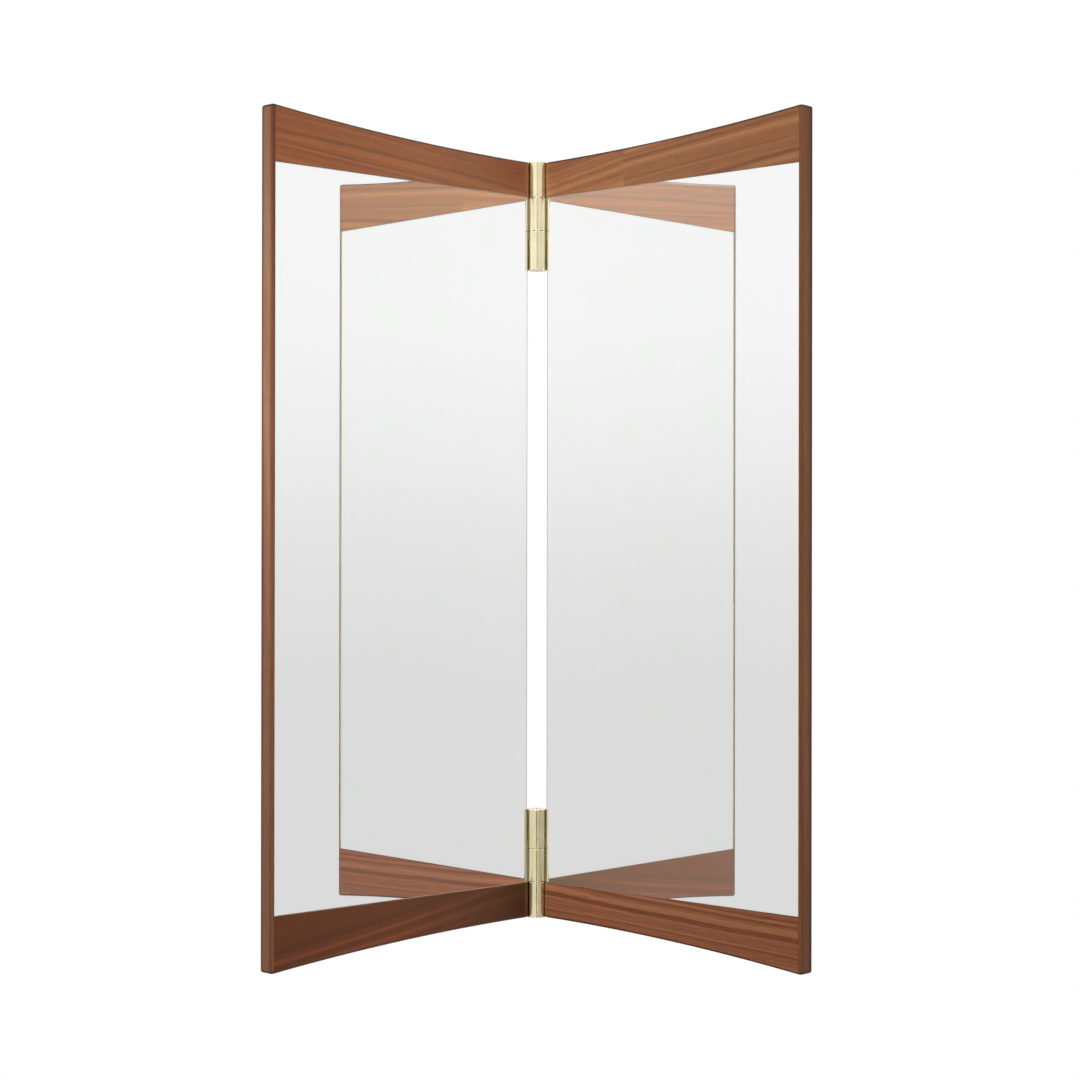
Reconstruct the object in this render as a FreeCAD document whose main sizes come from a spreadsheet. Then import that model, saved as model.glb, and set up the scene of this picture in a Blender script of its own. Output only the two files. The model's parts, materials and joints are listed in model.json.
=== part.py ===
import FreeCAD, Part
import math
import os
import Sketcher

# Wall-hung vanity mirror: two walnut-framed mirror panels that fold like a book about two brass barrel
# hinges, whose innermost knuckles stand on small wall plates. Frame: +Z up, +Y into the wall, origin on
# the wall plane on the hinge line at half height. Each panel is drawn in its own frame, X out from the
# hinge axis, Y back from that axis and Z up, and then turned to the open angle.

doc = FreeCAD.newDocument("vanity_mirror")
sheet = doc.addObject("Spreadsheet::Sheet", "dims")

DRIVING_SIZES = (
    ("open_angle", "43.8", "angle of each panel from the wall plane at rest, degrees"),
    ("panel_reach", "362.5", "hinge axis to the panel's outer edge"),
    ("edge_gap", "13.2", "hinge axis to the panel's inner edge"),
    ("hinge_height", "825", "frame height on the hinge line"),
    ("corner_rise", "19", "how far the arched edges rise from the hinge line to a corner"),
    ("rail_width", "38.5", "rail seen above and below the mirror on the hinge line"),
    ("frame_thick", "19", "frame thickness"),
    ("face_setback", "0.5", "hinge axis to the frame's front face, half the gap between closed panels"),
    ("edge_round", "2", "round on the frame's outer edges"),
    ("lip_width", "4", "outer stile seen beside the mirror"),
    ("stile_width", "22", "outer stile width"),
    ("hinge_stile_width", "40", "hinge stile width, behind the mirror"),
    ("rail_tongue", "12", "rail hidden behind the mirror"),
    ("tenon_length", "18", "hinge stile tenon length"),
    ("tenon_width", "12", "hinge stile tenon width"),
    ("tenon_thick", "7", "hinge stile tenon thickness"),
    ("tenon_room", "1", "mortise deeper than its tenon"),
    ("glass_thick", "4", "mirror glass thickness"),
    ("glass_recess", "1", "mirror face below the frame's front face"),
    ("glass_gap", "0.5", "mirror edge to frame"),
    ("glass_arris", "0.6", "polished arris on the mirror's edges"),
    ("tape_thick", "1", "mirror tape thickness"),
    ("tape_width", "25", "mirror tape width"),
    ("tape_inset", "14", "mirror tape to the mirror's side edges"),
    ("tape_end", "45", "mirror tape to the mirror's ends"),
    ("board_thick", "9", "backing board thickness"),
    ("board_bearing", "8", "backing board seat on each frame member"),
    ("board_gap", "0.2", "backing board edge to frame"),
    ("barrel_dia", "23", "hinge barrel diameter"),
    ("barrel_round", "0.6", "round on the knuckles' rims"),
    ("right_knuckle", "35.7", "length of the right panel's knuckles"),
    ("wall_knuckle", "42.2", "length of the wall knuckles"),
    ("washer_dia", "22", "thrust washer diameter"),
    ("washer_thick", "0.5", "thrust washer thickness"),
    ("axial_play", "0.05", "clearance at each face of a thrust washer"),
    ("pin_dia", "8", "hinge pin diameter"),
    ("pin_play", "0.05", "radial clearance around the hinge pin"),
    ("pin_bevel", "0.8", "bevel on the hinge pin's ends"),
    ("plug_dia", "13", "barrel plug diameter"),
    ("plug_depth", "4", "barrel plug thickness"),
    ("plug_play", "0.05", "clearance around and under a barrel plug"),
    ("slot_width", "1.2", "driver slot width"),
    ("slot_depth", "1", "driver slot depth"),
    ("leaf_thick", "2.5", "hinge leaf thickness"),
    ("leaf_cover", "1", "wood in front of and behind a hinge leaf"),
    ("leaf_margin", "4", "hinge leaf end to barrel end"),
    ("leaf_gap", "0.1", "clearance around a hinge leaf in its mortise"),
    ("lug_thick", "4", "hinge lug behind the leaf's front edge"),
    ("lug_inset", "1", "hinge lug end to knuckle end"),
    ("screw_dia", "3", "wood screw shank diameter"),
    ("screw_head", "6", "wood screw head diameter"),
    ("screw_length", "18", "wood screw length"),
    ("screw_tip", "4", "wood screw point length"),
    ("screw_inset", "9", "outermost wood screws to the leaf's ends"),
    ("screw_edge", "3.7", "wood screw axis to the leaf's back edge"),
    ("screw_play", "0.1", "clearance around the screws and bolts"),
    ("wall_gap", "6", "panel back to wall when folded flat"),
    ("plate_width", "80", "wall plate width"),
    ("plate_height", "34", "wall plate height"),
    ("plate_thick", "4", "wall plate thickness"),
    ("plate_corner", "6", "wall plate corner radius"),
    ("plate_bevel", "0.8", "bevel around the wall plate's front"),
    ("wall_hole", "5.2", "wall screw hole diameter"),
    ("wall_head", "10", "wall screw countersink diameter"),
    ("wall_hole_pitch", "58", "wall screw hole spacing on one plate"),
    ("arm_width", "12", "wall arm width"),
    ("arm_height", "24", "wall arm height"),
    ("bolt_dia", "4", "bracket bolt diameter"),
    ("bolt_head", "7.6", "bracket bolt head diameter"),
    ("bolt_length", "14", "bracket bolt length"),
    ("bolt_pitch", "13", "bracket bolt spacing"),
    ("bolt_room", "1", "bolt hole deeper than its bolt"),
    ("bumper_dia", "10", "wall bumper diameter"),
    ("bumper_round", "1.5", "round on a wall bumper's rim"),
    ("bumper_inset", "40", "wall bumper to the frame's height on the hinge line"),
)
for row, (alias, size, note) in enumerate(DRIVING_SIZES, start=1):
    sheet.set("A%d" % row, note)
    sheet.set("B%d" % row, size)
    sheet.setAlias("B%d" % row, alias)
doc.recompute()

# Depths in a panel, back from the hinge axis
FRONT = "dims.face_setback"
BACK = "(dims.face_setback + dims.frame_thick)"
GLASS_FRONT = "(dims.face_setback + dims.glass_recess)"
GLASS_BACK = "(%s + dims.glass_thick)" % GLASS_FRONT
FLOOR = "(%s + dims.tape_thick)" % GLASS_BACK
BOARD_BACK = "(%s + dims.board_thick)" % FLOOR
LEAF_FRONT = "(%s + dims.leaf_cover)" % FLOOR
LEAF_BACK = "(%s - dims.leaf_cover)" % BACK
LUG_FRONT = "(dims.barrel_dia / 4)"
LUG_BACK = "(%s + dims.lug_thick)" % LEAF_FRONT
SCREW_DEPTH = "(%s - dims.screw_edge)" % LEAF_BACK
TENON_MID = "((%s + %s) / 2)" % (FLOOR, BACK)
TENON_FRONT = "(%s - dims.tenon_thick / 2)" % TENON_MID
TENON_BACK = "(%s + dims.tenon_thick / 2)" % TENON_MID

# Distances in a panel, out from the hinge axis
INNER = "dims.edge_gap"
LEAF_SEAT = "(dims.edge_gap + dims.leaf_thick)"
HINGE_STILE_OUT = "(dims.edge_gap + dims.hinge_stile_width)"
BOARD_IN = "(%s - dims.board_bearing)" % HINGE_STILE_OUT
TENON_IN = "(%s - dims.tenon_width)" % BOARD_IN
STILE_IN = "(dims.panel_reach - dims.stile_width)"
BOARD_OUT = "(%s + dims.board_bearing)" % STILE_IN
LIP_IN = "(dims.panel_reach - dims.lip_width)"
GLASS_OUT = "(%s - dims.glass_gap)" % LIP_IN
STILE_MID = "(dims.panel_reach - dims.stile_width / 2)"

# Heights above the middle of the frame, and down the upper hinge barrel from its outer end
TOP = "(dims.hinge_height / 2)"
CORNER = "(%s + dims.corner_rise)" % TOP
SIGHT = "(%s - dims.rail_width)" % TOP
TONGUE = "(%s - dims.rail_tongue)" % SIGHT
BOARD_END = "(%s + dims.board_bearing)" % TONGUE
TENON_END = "(%s + dims.tenon_length)" % TONGUE
RUN = "(dims.washer_thick + 2 * dims.axial_play)"
RIGHT_TOP = "(%s - %s)" % (SIGHT, RUN)
RIGHT_END = "(%s - dims.right_knuckle)" % RIGHT_TOP
WALL_TOP = "(%s - %s)" % (RIGHT_END, RUN)
WALL_END = "(%s - dims.wall_knuckle)" % WALL_TOP
WALL_MID = "(%s - dims.wall_knuckle / 2)" % WALL_TOP
LEAF_TOP = "(%s - dims.leaf_margin)" % TOP
LEAF_END = "(%s + dims.leaf_margin)" % WALL_END
ARCH_RADIUS = "((dims.panel_reach ^ 2 + dims.corner_rise ^ 2) / (2 * dims.corner_rise))"
STANDOFF = "(dims.face_setback + dims.frame_thick + dims.wall_gap)"

LEAF_SCREWS = 4
TAPE_STRIPS = 4
SAME = 1e-4
SIDES = {"left": -1, "right": 1}
LEVELS = {"top": 1, "bottom": -1}
ALONG = {
    "x": FreeCAD.Rotation(FreeCAD.Vector(0, 1, 0), 90),
    "y": FreeCAD.Rotation(FreeCAD.Vector(1, 0, 0), -90),
    "z": FreeCAD.Rotation(),
}
nodes = []


def number(expression):
    """The present value of an expression on the sheet."""
    return float(sheet.evalExpression(expression))


def span(level, low, high):
    """A stretch of height, or its mirror image below the middle."""
    return (low, high) if level > 0 else ("-(%s)" % high, "-(%s)" % low)


def screw_height(level, index):
    """Height of one of the evenly spaced screws along a hinge leaf."""
    first = "(%s - dims.screw_inset)" % LEAF_TOP
    last = "(%s + dims.screw_inset)" % LEAF_END
    share = "%d / %d" % (index, LEAF_SCREWS - 1)
    return "(%d * (%s + (%s - %s) * %s))" % (level, first, last, first, share)


def new_body(label, side=None, at_axis=False):
    """An empty sub-part: in a panel's frame, on the hinge axis, or in the wall's own frame."""
    body = doc.addObject("PartDesign::Body", label)
    body.Label = label
    body.AllowCompound = True
    axis = "create(<<vector>>; 0; -%s; 0)" % STANDOFF
    upright = "create(<<vector>>; 0; 0; 1)"
    if side == "right":
        turn = "create(<<rotation>>; %s; -dims.open_angle)" % upright
        body.setExpression("Placement", "create(<<placement>>; %s; %s)" % (axis, turn))
    elif side == "left":
        half_turn = "create(<<rotation>>; create(<<vector>>; 0; 1; 0); 180)"
        turn = "create(<<rotation>>; %s; dims.open_angle) * %s" % (upright, half_turn)
        body.setExpression("Placement", "create(<<placement>>; %s; %s)" % (axis, turn))
    elif at_axis:
        body.setExpression("Placement.Base.y", "-%s" % STANDOFF)
    nodes.append(body)
    return body


def block(body, kind, name, x, y, z):
    """A rectangular block between two expressions on each axis, added to a body or cut from it."""
    feature = body.newObject("PartDesign::%sBox" % kind, name)
    for side, axis, (low, high) in (("Length", "x", x), ("Width", "y", y), ("Height", "z", z)):
        feature.setExpression(side, "%s - (%s)" % (high, low))
        feature.setExpression("Placement.Base.%s" % axis, low)
    return feature


def round_bar(body, kind, name, axis, radii, start, length):
    """A cylinder, or a cone from its first radius to its second, along one axis from a start point."""
    shape = "Cylinder" if len(radii) == 1 else "Cone"
    feature = body.newObject("PartDesign::%s%s" % (kind, shape), name)
    feature.Placement = FreeCAD.Placement(FreeCAD.Vector(), ALONG[axis])
    for place, expression in zip("xyz", start):
        feature.setExpression("Placement.Base.%s" % place, expression)
    if len(radii) == 1:
        feature.setExpression("Radius", radii[0])
    else:
        feature.setExpression("Radius1", radii[0])
        feature.setExpression("Radius2", radii[1])
    feature.setExpression("Height", length)
    return feature


def soften(body, kind, size, chosen):
    """A fillet or chamfer on those edges of a body's last feature that a test picks."""
    doc.recompute()
    base = body.Tip
    edges = ["Edge%d" % i for i, edge in enumerate(base.Shape.Edges, start=1) if chosen(edge)]
    feature = body.newObject("PartDesign::%s" % kind, kind.lower())
    feature.Base = (base, edges)
    feature.setExpression("Radius" if kind == "Fillet" else "Size", size)
    return feature


def lies_at(edge, axis, expression):
    """Does the whole edge lie in one plane across an axis?"""
    box = edge.BoundBox
    place = number(expression)
    low = getattr(box, axis + "Min")
    high = getattr(box, axis + "Max")
    return abs(low - place) < SAME and abs(high - place) < SAME


def on_arch(edge):
    """Does the edge follow the arched outline, on the frame's front or back face?"""
    radius = number(ARCH_RADIUS)
    arched = hasattr(edge.Curve, "Radius") and abs(edge.Curve.Radius - radius) < SAME * radius
    return arched and (lies_at(edge, "Y", FRONT) or lies_at(edge, "Y", BACK))


def front_outline(body, inner, outer, low, high):
    """Sketch of a frame member seen from the front. An end given as None follows the arched edge."""
    sketch = body.newObject("Sketcher::SketchObject", "outline")
    plane = [f for f in body.Origin.OriginFeatures if f.Role == "XZ_Plane"][0]
    sketch.AttachmentSupport = [(plane, "")]
    sketch.MapMode = "FlatFace"
    sketch.setExpression("AttachmentOffset.Base.z", "-%s" % FRONT)
    reach = [number(inner), number(outer)]
    radius = number(ARCH_RADIUS)
    centre = number(TOP) + radius
    normal = FreeCAD.Vector(0, 0, 1)

    def arched(distance):
        return centre - math.sqrt(radius ** 2 - distance ** 2)

    lows = [-arched(x) if low is None else number(low) for x in reach]
    highs = [arched(x) if high is None else number(high) for x in reach]
    corners = [
        FreeCAD.Vector(reach[0], lows[0], 0),
        FreeCAD.Vector(reach[1], lows[1], 0),
        FreeCAD.Vector(reach[1], highs[1], 0),
        FreeCAD.Vector(reach[0], highs[0], 0),
    ]
    turns = [math.asin(x / radius) for x in reach]
    if low is None:
        circle = Part.Circle(FreeCAD.Vector(0, -centre, 0), normal, radius)
        low_edge = Part.ArcOfCircle(circle, math.pi / 2 - turns[1], math.pi / 2 - turns[0])
    else:
        low_edge = Part.LineSegment(corners[1], corners[0])
    if high is None:
        circle = Part.Circle(FreeCAD.Vector(0, centre, 0), normal, radius)
        high_edge = Part.ArcOfCircle(circle, turns[0] - math.pi / 2, turns[1] - math.pi / 2)
    else:
        high_edge = Part.LineSegment(corners[3], corners[2])
    low_id = sketch.addGeometry(low_edge)
    outer_id = sketch.addGeometry(Part.LineSegment(corners[1], corners[2]))
    high_id = sketch.addGeometry(high_edge)
    inner_id = sketch.addGeometry(Part.LineSegment(corners[3], corners[0]))
    for joined in (
        (low_id, 1, outer_id, 1),
        (outer_id, 2, high_id, 2),
        (high_id, 1, inner_id, 1),
        (inner_id, 2, low_id, 2),
    ):
        sketch.addConstraint(Sketcher.Constraint("Coincident", *joined))
    sketch.addConstraint(Sketcher.Constraint("Vertical", outer_id))
    sketch.addConstraint(Sketcher.Constraint("Vertical", inner_id))

    def driven(kind, geometry, expression):
        index = sketch.addConstraint(Sketcher.Constraint(kind, *geometry, number(expression)))
        sketch.setExpression("Constraints[%d]" % index, expression)

    driven("DistanceX", (-1, 1, inner_id, 1), inner)
    driven("DistanceX", (-1, 1, outer_id, 1), outer)
    for edge_id, edge, sign in ((low_id, low, -1), (high_id, high, 1)):
        if edge is None:
            sketch.addConstraint(Sketcher.Constraint("PointOnObject", edge_id, 3, -2))
            driven("Radius", (edge_id,), ARCH_RADIUS)
            place, height = (edge_id, 3), "(%s + %s)" % (TOP, ARCH_RADIUS)
        else:
            sketch.addConstraint(Sketcher.Constraint("Horizontal", edge_id))
            sign = math.copysign(1, number(edge))
            place, height = (edge_id, 1), edge if sign > 0 else "-(%s)" % edge
        ends = (-1, 1) + place if sign > 0 else place + (-1, 1)
        driven("DistanceY", ends, height)
    return sketch


def frame_blank(body, inner, outer, low, high):
    """A frame member's blank, the full frame thickness."""
    pad = body.newObject("PartDesign::Pad", "blank")
    pad.Profile = front_outline(body, inner, outer, low, high)
    pad.Reversed = True
    pad.setExpression("Length", "dims.frame_thick")
    return pad


def cut_leaf_seat(body, level):
    """The mortise that takes a hinge leaf, and the pilot holes of its screws."""
    room = "dims.leaf_gap"
    depth = ("%s - %s" % (LEAF_FRONT, room), "%s + %s" % (LEAF_BACK, room))
    height = span(level, "(%s - %s)" % (LEAF_END, room), "(%s + %s)" % (LEAF_TOP, room))
    block(body, "Subtractive", "leaf_seat", (INNER, LEAF_SEAT), depth, height)
    radius = "dims.screw_dia / 2 + dims.screw_play"
    length = "dims.screw_length + dims.screw_play"
    for index in range(LEAF_SCREWS):
        start = (INNER, SCREW_DEPTH, screw_height(level, index))
        round_bar(body, "Subtractive", "pilot", "x", (radius,), start, length)


def make_rail(side, name):
    """A top or bottom rail: arched outside, rebated for the mirror and board, lapped over the stile."""
    body = new_body("%s_%s_rail" % (side, name), side)
    level = SIDES[side] * LEVELS[name]
    if level > 0:
        frame_blank(body, INNER, LIP_IN, TONGUE, None)
    else:
        frame_blank(body, INNER, LIP_IN, None, "-" + TONGUE)
    whole = span(level, TONGUE, CORNER)
    cuts = (
        ("mirror_rebate", (INNER, LIP_IN), (FRONT, FLOOR), span(level, TONGUE, SIGHT)),
        ("board_rebate", (BOARD_IN, BOARD_OUT), (FLOOR, BOARD_BACK), span(level, TONGUE, BOARD_END)),
        ("lap", (BOARD_OUT, LIP_IN), (FLOOR, BACK), whole),
        ("lap_step", (STILE_IN, BOARD_OUT), (BOARD_BACK, BACK), whole),
    )
    for cut, x, y, z in cuts:
        block(body, "Subtractive", cut, x, y, z)
    soften(body, "Fillet", "dims.edge_round", on_arch)
    mortise = span(level, TONGUE, "(%s + dims.tenon_room)" % TENON_END)
    block(body, "Subtractive", "mortise", (TENON_IN, BOARD_IN), (TENON_FRONT, TENON_BACK), mortise)
    cut_leaf_seat(body, level)


def make_outer_stile(side):
    """The full-height outer stile, stepped behind its front lip for the mirror, the board and the rails."""
    body = new_body("%s_outer_stile" % side, side)
    frame_blank(body, STILE_IN, "dims.panel_reach", None, None)
    whole = ("-" + CORNER, CORNER)
    block(body, "Subtractive", "mirror_rebate", (STILE_IN, LIP_IN), (FRONT, FLOOR), whole)
    block(body, "Subtractive", "board_rebate", (STILE_IN, BOARD_OUT), (FLOOR, BOARD_BACK), whole)
    soften(
        body, "Fillet", "dims.edge_round", lambda e: lies_at(e, "X", "dims.panel_reach") or on_arch(e)
    )


def make_hinge_stile(side):
    """The stile behind the mirror's inner edge, tenoned into both rails, that carries the hinge leaves."""
    body = new_body("%s_hinge_stile" % side, side)
    block(body, "Additive", "blank", (INNER, HINGE_STILE_OUT), (FLOOR, BACK), ("-" + TONGUE, TONGUE))
    tenon = (TENON_FRONT, TENON_BACK)
    block(body, "Additive", "tenons", (TENON_IN, BOARD_IN), tenon, ("-" + TENON_END, TENON_END))
    rebate = (BOARD_IN, HINGE_STILE_OUT)
    block(body, "Subtractive", "board_rebate", rebate, (FLOOR, BOARD_BACK), ("-" + TONGUE, TONGUE))
    for level in LEVELS.values():
        cut_leaf_seat(body, level)


def make_backing_board(side):
    """The plywood board that closes the frame and carries the mirror."""
    body = new_body("%s_backing_board" % side, side)
    width = ("(%s + dims.board_gap)" % BOARD_IN, "(%s - dims.board_gap)" % BOARD_OUT)
    end = "(%s - dims.board_gap)" % BOARD_END
    block(body, "Additive", "board", width, (FLOOR, BOARD_BACK), ("-" + end, end))


def make_mirror(side):
    """The silvered pane, with a polished arris all round, that runs to the hinge side's edge."""
    body = new_body("%s_mirror_glass" % side, side)
    end = "(%s - dims.glass_gap)" % SIGHT
    block(body, "Additive", "pane", (INNER, GLASS_OUT), (GLASS_FRONT, GLASS_BACK), ("-" + end, end))
    soften(
        body,
        "Chamfer",
        "dims.glass_arris",
        lambda e: lies_at(e, "Y", GLASS_FRONT) or lies_at(e, "Y", GLASS_BACK),
    )


def make_mirror_tape(side):
    """Upright strips of foam tape between the mirror and what is behind it."""
    body = new_body("%s_mirror_tape" % side, side)
    first = "(%s + dims.tape_inset)" % INNER
    last = "(%s - dims.tape_inset - dims.tape_width)" % GLASS_OUT
    end = "(%s - dims.tape_end)" % SIGHT
    for index in range(TAPE_STRIPS):
        low = "(%s + (%s - %s) * %d / %d)" % (first, last, first, index, TAPE_STRIPS - 1)
        width = (low, "(%s + dims.tape_width)" % low)
        block(body, "Additive", "strip", width, (GLASS_BACK, FLOOR), ("-" + end, end))


def make_bumpers(side):
    """Two rubber buttons behind the outer stile that meet the wall when the panel lies flat."""
    body = new_body("%s_wall_bumpers" % side, side)
    radius = "dims.bumper_dia / 2"
    for level in LEVELS.values():
        start = (STILE_MID, BACK, "%d * (%s - dims.bumper_inset)" % (level, TOP))
        round_bar(body, "Additive", "button", "y", (radius,), start, "dims.wall_gap")
    soften(body, "Fillet", "dims.bumper_round", lambda e: lies_at(e, "Y", "%s + dims.wall_gap" % BACK))


def make_knuckle(body, low, high):
    """A hinge knuckle with rounded rims, still without its bore."""
    length = "%s - (%s)" % (high, low)
    round_bar(body, "Additive", "knuckle", "z", ("dims.barrel_dia / 2",), ("0", "0", low), length)
    soften(body, "Fillet", "dims.barrel_round", lambda e: lies_at(e, "Z", low) or lies_at(e, "Z", high))


def cut_bore(body, low, high, plug_end=None):
    """The pin's bore through a knuckle and, at a barrel's end, the seat of its plug."""
    length = "%s - (%s)" % (high, low)
    radius = "dims.pin_dia / 2 + dims.pin_play"
    round_bar(body, "Subtractive", "bore", "z", (radius,), ("0", "0", low), length)
    if plug_end is None:
        return
    depth = "(dims.plug_depth + dims.plug_play)"
    seat = "dims.plug_dia / 2 + dims.plug_play"
    start = low if plug_end == low else "%s - %s" % (high, depth)
    round_bar(body, "Subtractive", "plug_seat", "z", (seat,), ("0", "0", start), depth)


def make_hinge_leaf(side, name):
    """A panel's knuckle with the lug and the leaf that is let into the panel's inner edge."""
    body = new_body("%s_%s_hinge_leaf" % (side, name), side)
    level = SIDES[side] * LEVELS[name]
    low, high = span(level, SIGHT, TOP) if side == "left" else span(level, RIGHT_END, RIGHT_TOP)
    make_knuckle(body, low, high)
    lug = ("%s + dims.lug_inset" % low, "%s - dims.lug_inset" % high)
    block(body, "Additive", "lug", ("0", INNER), (LUG_FRONT, LUG_BACK), lug)
    leaf = span(level, LEAF_END, LEAF_TOP)
    block(body, "Additive", "leaf", (INNER, LEAF_SEAT), (LEAF_FRONT, LEAF_BACK), leaf)
    plug_end = None
    if side == "left":
        plug_end = high if level > 0 else low
    cut_bore(body, low, high, plug_end)
    for index in range(LEAF_SCREWS):
        start = (INNER, SCREW_DEPTH, screw_height(level, index))
        hole = "(dims.screw_dia / 2 + dims.screw_play)"
        head = "(dims.screw_head / 2 + dims.screw_play)"
        round_bar(body, "Subtractive", "screw_hole", "x", (hole,), start, "dims.leaf_thick")
        round_bar(body, "Subtractive", "countersink", "x", (head, hole), start, "%s - %s" % (head, hole))


def make_leaf_screws(side):
    """The countersunk wood screws of a panel's two hinge leaves."""
    body = new_body("%s_leaf_screws" % side, side)
    shank = "(dims.screw_dia / 2)"
    head = "(dims.screw_head / 2)"
    sink = "(%s - %s)" % (head, shank)
    point = "(%s + dims.screw_length - dims.screw_tip)" % INNER
    slot = ("%s - dims.slot_width / 2" % SCREW_DEPTH, "%s + dims.slot_width / 2" % SCREW_DEPTH)
    slot_depth = (INNER, "(%s + dims.slot_depth)" % INNER)
    for level in LEVELS.values():
        for index in range(LEAF_SCREWS):
            height = screw_height(level, index)
            round_bar(body, "Additive", "head", "x", (head, shank), (INNER, SCREW_DEPTH, height), sink)
            after_head = ("(%s + %s)" % (INNER, sink), SCREW_DEPTH, height)
            length = "dims.screw_length - dims.screw_tip - %s" % sink
            round_bar(body, "Additive", "shank", "x", (shank,), after_head, length)
            start = (point, SCREW_DEPTH, height)
            round_bar(body, "Additive", "tip", "x", (shank, "0"), start, "dims.screw_tip")
            across = ("%s - %s" % (height, head), "%s + %s" % (height, head))
            block(body, "Subtractive", "slot", slot_depth, slot, across)


def make_wall_knuckle(name):
    """The knuckle that stays still, with the arm that stands it off the wall."""
    body = new_body("%s_wall_knuckle" % name, at_axis=True)
    level = LEVELS[name]
    low, high = span(level, WALL_END, WALL_TOP)
    make_knuckle(body, low, high)
    middle = "%d * %s" % (level, WALL_MID)
    width = ("-dims.arm_width / 2", "dims.arm_width / 2")
    height = ("%s - dims.arm_height / 2" % middle, "%s + dims.arm_height / 2" % middle)
    block(body, "Additive", "arm", width, ("0", "%s - dims.plate_thick" % STANDOFF), height)
    cut_bore(body, low, high, low if level > 0 else high)
    depth = "(dims.bolt_length - dims.plate_thick + dims.bolt_room)"
    radius = "dims.bolt_dia / 2 + dims.screw_play"
    for sign in (-1, 1):
        bolt_height = "%s + %d * dims.bolt_pitch / 2" % (middle, sign)
        start = ("0", "%s - dims.plate_thick - %s" % (STANDOFF, depth), bolt_height)
        round_bar(body, "Subtractive", "bolt_hole", "y", (radius,), start, depth)


def make_wall_plate(name):
    """The plate screwed to the wall: countersunk in front for wall screws, behind for the bracket bolts."""
    body = new_body("%s_wall_plate" % name)
    middle = "%d * %s" % (LEVELS[name], WALL_MID)
    width = ("-dims.plate_width / 2", "dims.plate_width / 2")
    height = ("%s - dims.plate_height / 2" % middle, "%s + dims.plate_height / 2" % middle)
    block(body, "Additive", "plate", width, ("-dims.plate_thick", "0"), height)
    soften(body, "Fillet", "dims.plate_corner", lambda e: abs(e.tangentAt(e.FirstParameter).y) > 1 - SAME)
    soften(body, "Chamfer", "dims.plate_bevel", lambda e: lies_at(e, "Y", "-dims.plate_thick"))
    for sign in (-1, 1):
        hole = "(dims.wall_hole / 2)"
        head = "(dims.wall_head / 2)"
        start = ("%d * dims.wall_hole_pitch / 2" % sign, "-dims.plate_thick", middle)
        round_bar(body, "Subtractive", "wall_hole", "y", (hole,), start, "dims.plate_thick")
        round_bar(body, "Subtractive", "countersink", "y", (head, hole), start, "%s - %s" % (head, hole))
        bolt = "(dims.bolt_dia / 2 + dims.screw_play)"
        sunk = "(dims.bolt_head / 2 + dims.screw_play)"
        bolt_height = "%s + %d * dims.bolt_pitch / 2" % (middle, sign)
        start = ("0", "-dims.plate_thick", bolt_height)
        round_bar(body, "Subtractive", "bolt_hole", "y", (bolt,), start, "dims.plate_thick")
        start = ("0", "-(%s - %s)" % (sunk, bolt), bolt_height)
        round_bar(body, "Subtractive", "bolt_sink", "y", (bolt, sunk), start, "%s - %s" % (sunk, bolt))


def make_plate_bolts():
    """The countersunk bolts that hold the wall knuckles to their plates."""
    body = new_body("wall_plate_bolts")
    shank = "(dims.bolt_dia / 2)"
    head = "(dims.bolt_head / 2)"
    sink = "(%s - %s)" % (head, shank)
    for level in LEVELS.values():
        for sign in (-1, 1):
            height = "(%d * %s + %d * dims.bolt_pitch / 2)" % (level, WALL_MID, sign)
            round_bar(body, "Additive", "head", "y", (shank, head), ("0", "-%s" % sink, height), sink)
            start = ("0", "-dims.bolt_length", height)
            round_bar(body, "Additive", "shank", "y", (shank,), start, "dims.bolt_length - %s" % sink)
            slot = ("-dims.slot_width / 2", "dims.slot_width / 2")
            across = ("%s - %s" % (height, head), "%s + %s" % (height, head))
            block(body, "Subtractive", "slot", slot, ("-dims.slot_depth", "0"), across)


def make_hinge_pin(name):
    """The steel pin through a hinge's three knuckles, between its two plugs."""
    body = new_body("%s_hinge_pin" % name, at_axis=True)
    room = "(dims.plug_depth + 2 * dims.plug_play)"
    low, high = span(LEVELS[name], "(%s + %s)" % (WALL_END, room), "(%s - %s)" % (TOP, room))
    length = "%s - (%s)" % (high, low)
    round_bar(body, "Additive", "pin", "z", ("dims.pin_dia / 2",), ("0", "0", low), length)
    soften(body, "Chamfer", "dims.pin_bevel", lambda e: lies_at(e, "Z", low) or lies_at(e, "Z", high))


def make_thrust_washers():
    """A thin bronze washer at each joint between knuckles, on the pins."""
    body = new_body("thrust_washers", at_axis=True)
    for level in LEVELS.values():
        for joint in (RIGHT_TOP, WALL_TOP):
            bottom = "(%s + dims.axial_play)" % joint
            low, high = span(level, bottom, "(%s + dims.washer_thick)" % bottom)
            length = "%s - (%s)" % (high, low)
            round_bar(body, "Additive", "washer", "z", ("dims.washer_dia / 2",), ("0", "0", low), length)
            hole = ("dims.pin_dia / 2 + dims.pin_play",)
            round_bar(body, "Subtractive", "hole", "z", hole, ("0", "0", low), length)


def make_barrel_plugs(label, side, ends):
    """The slotted plugs, flush in the barrels' ends, that keep the pins in."""
    body = new_body(label, side, at_axis=side is None)
    width = ("-dims.slot_width / 2", "dims.slot_width / 2")
    across = ("-dims.plug_dia / 2", "dims.plug_dia / 2")
    for low, high, slot in ends:
        length = "%s - (%s)" % (high, low)
        round_bar(body, "Additive", "plug", "z", ("dims.plug_dia / 2",), ("0", "0", low), length)
        block(body, "Subtractive", "slot", width, across, slot)


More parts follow.
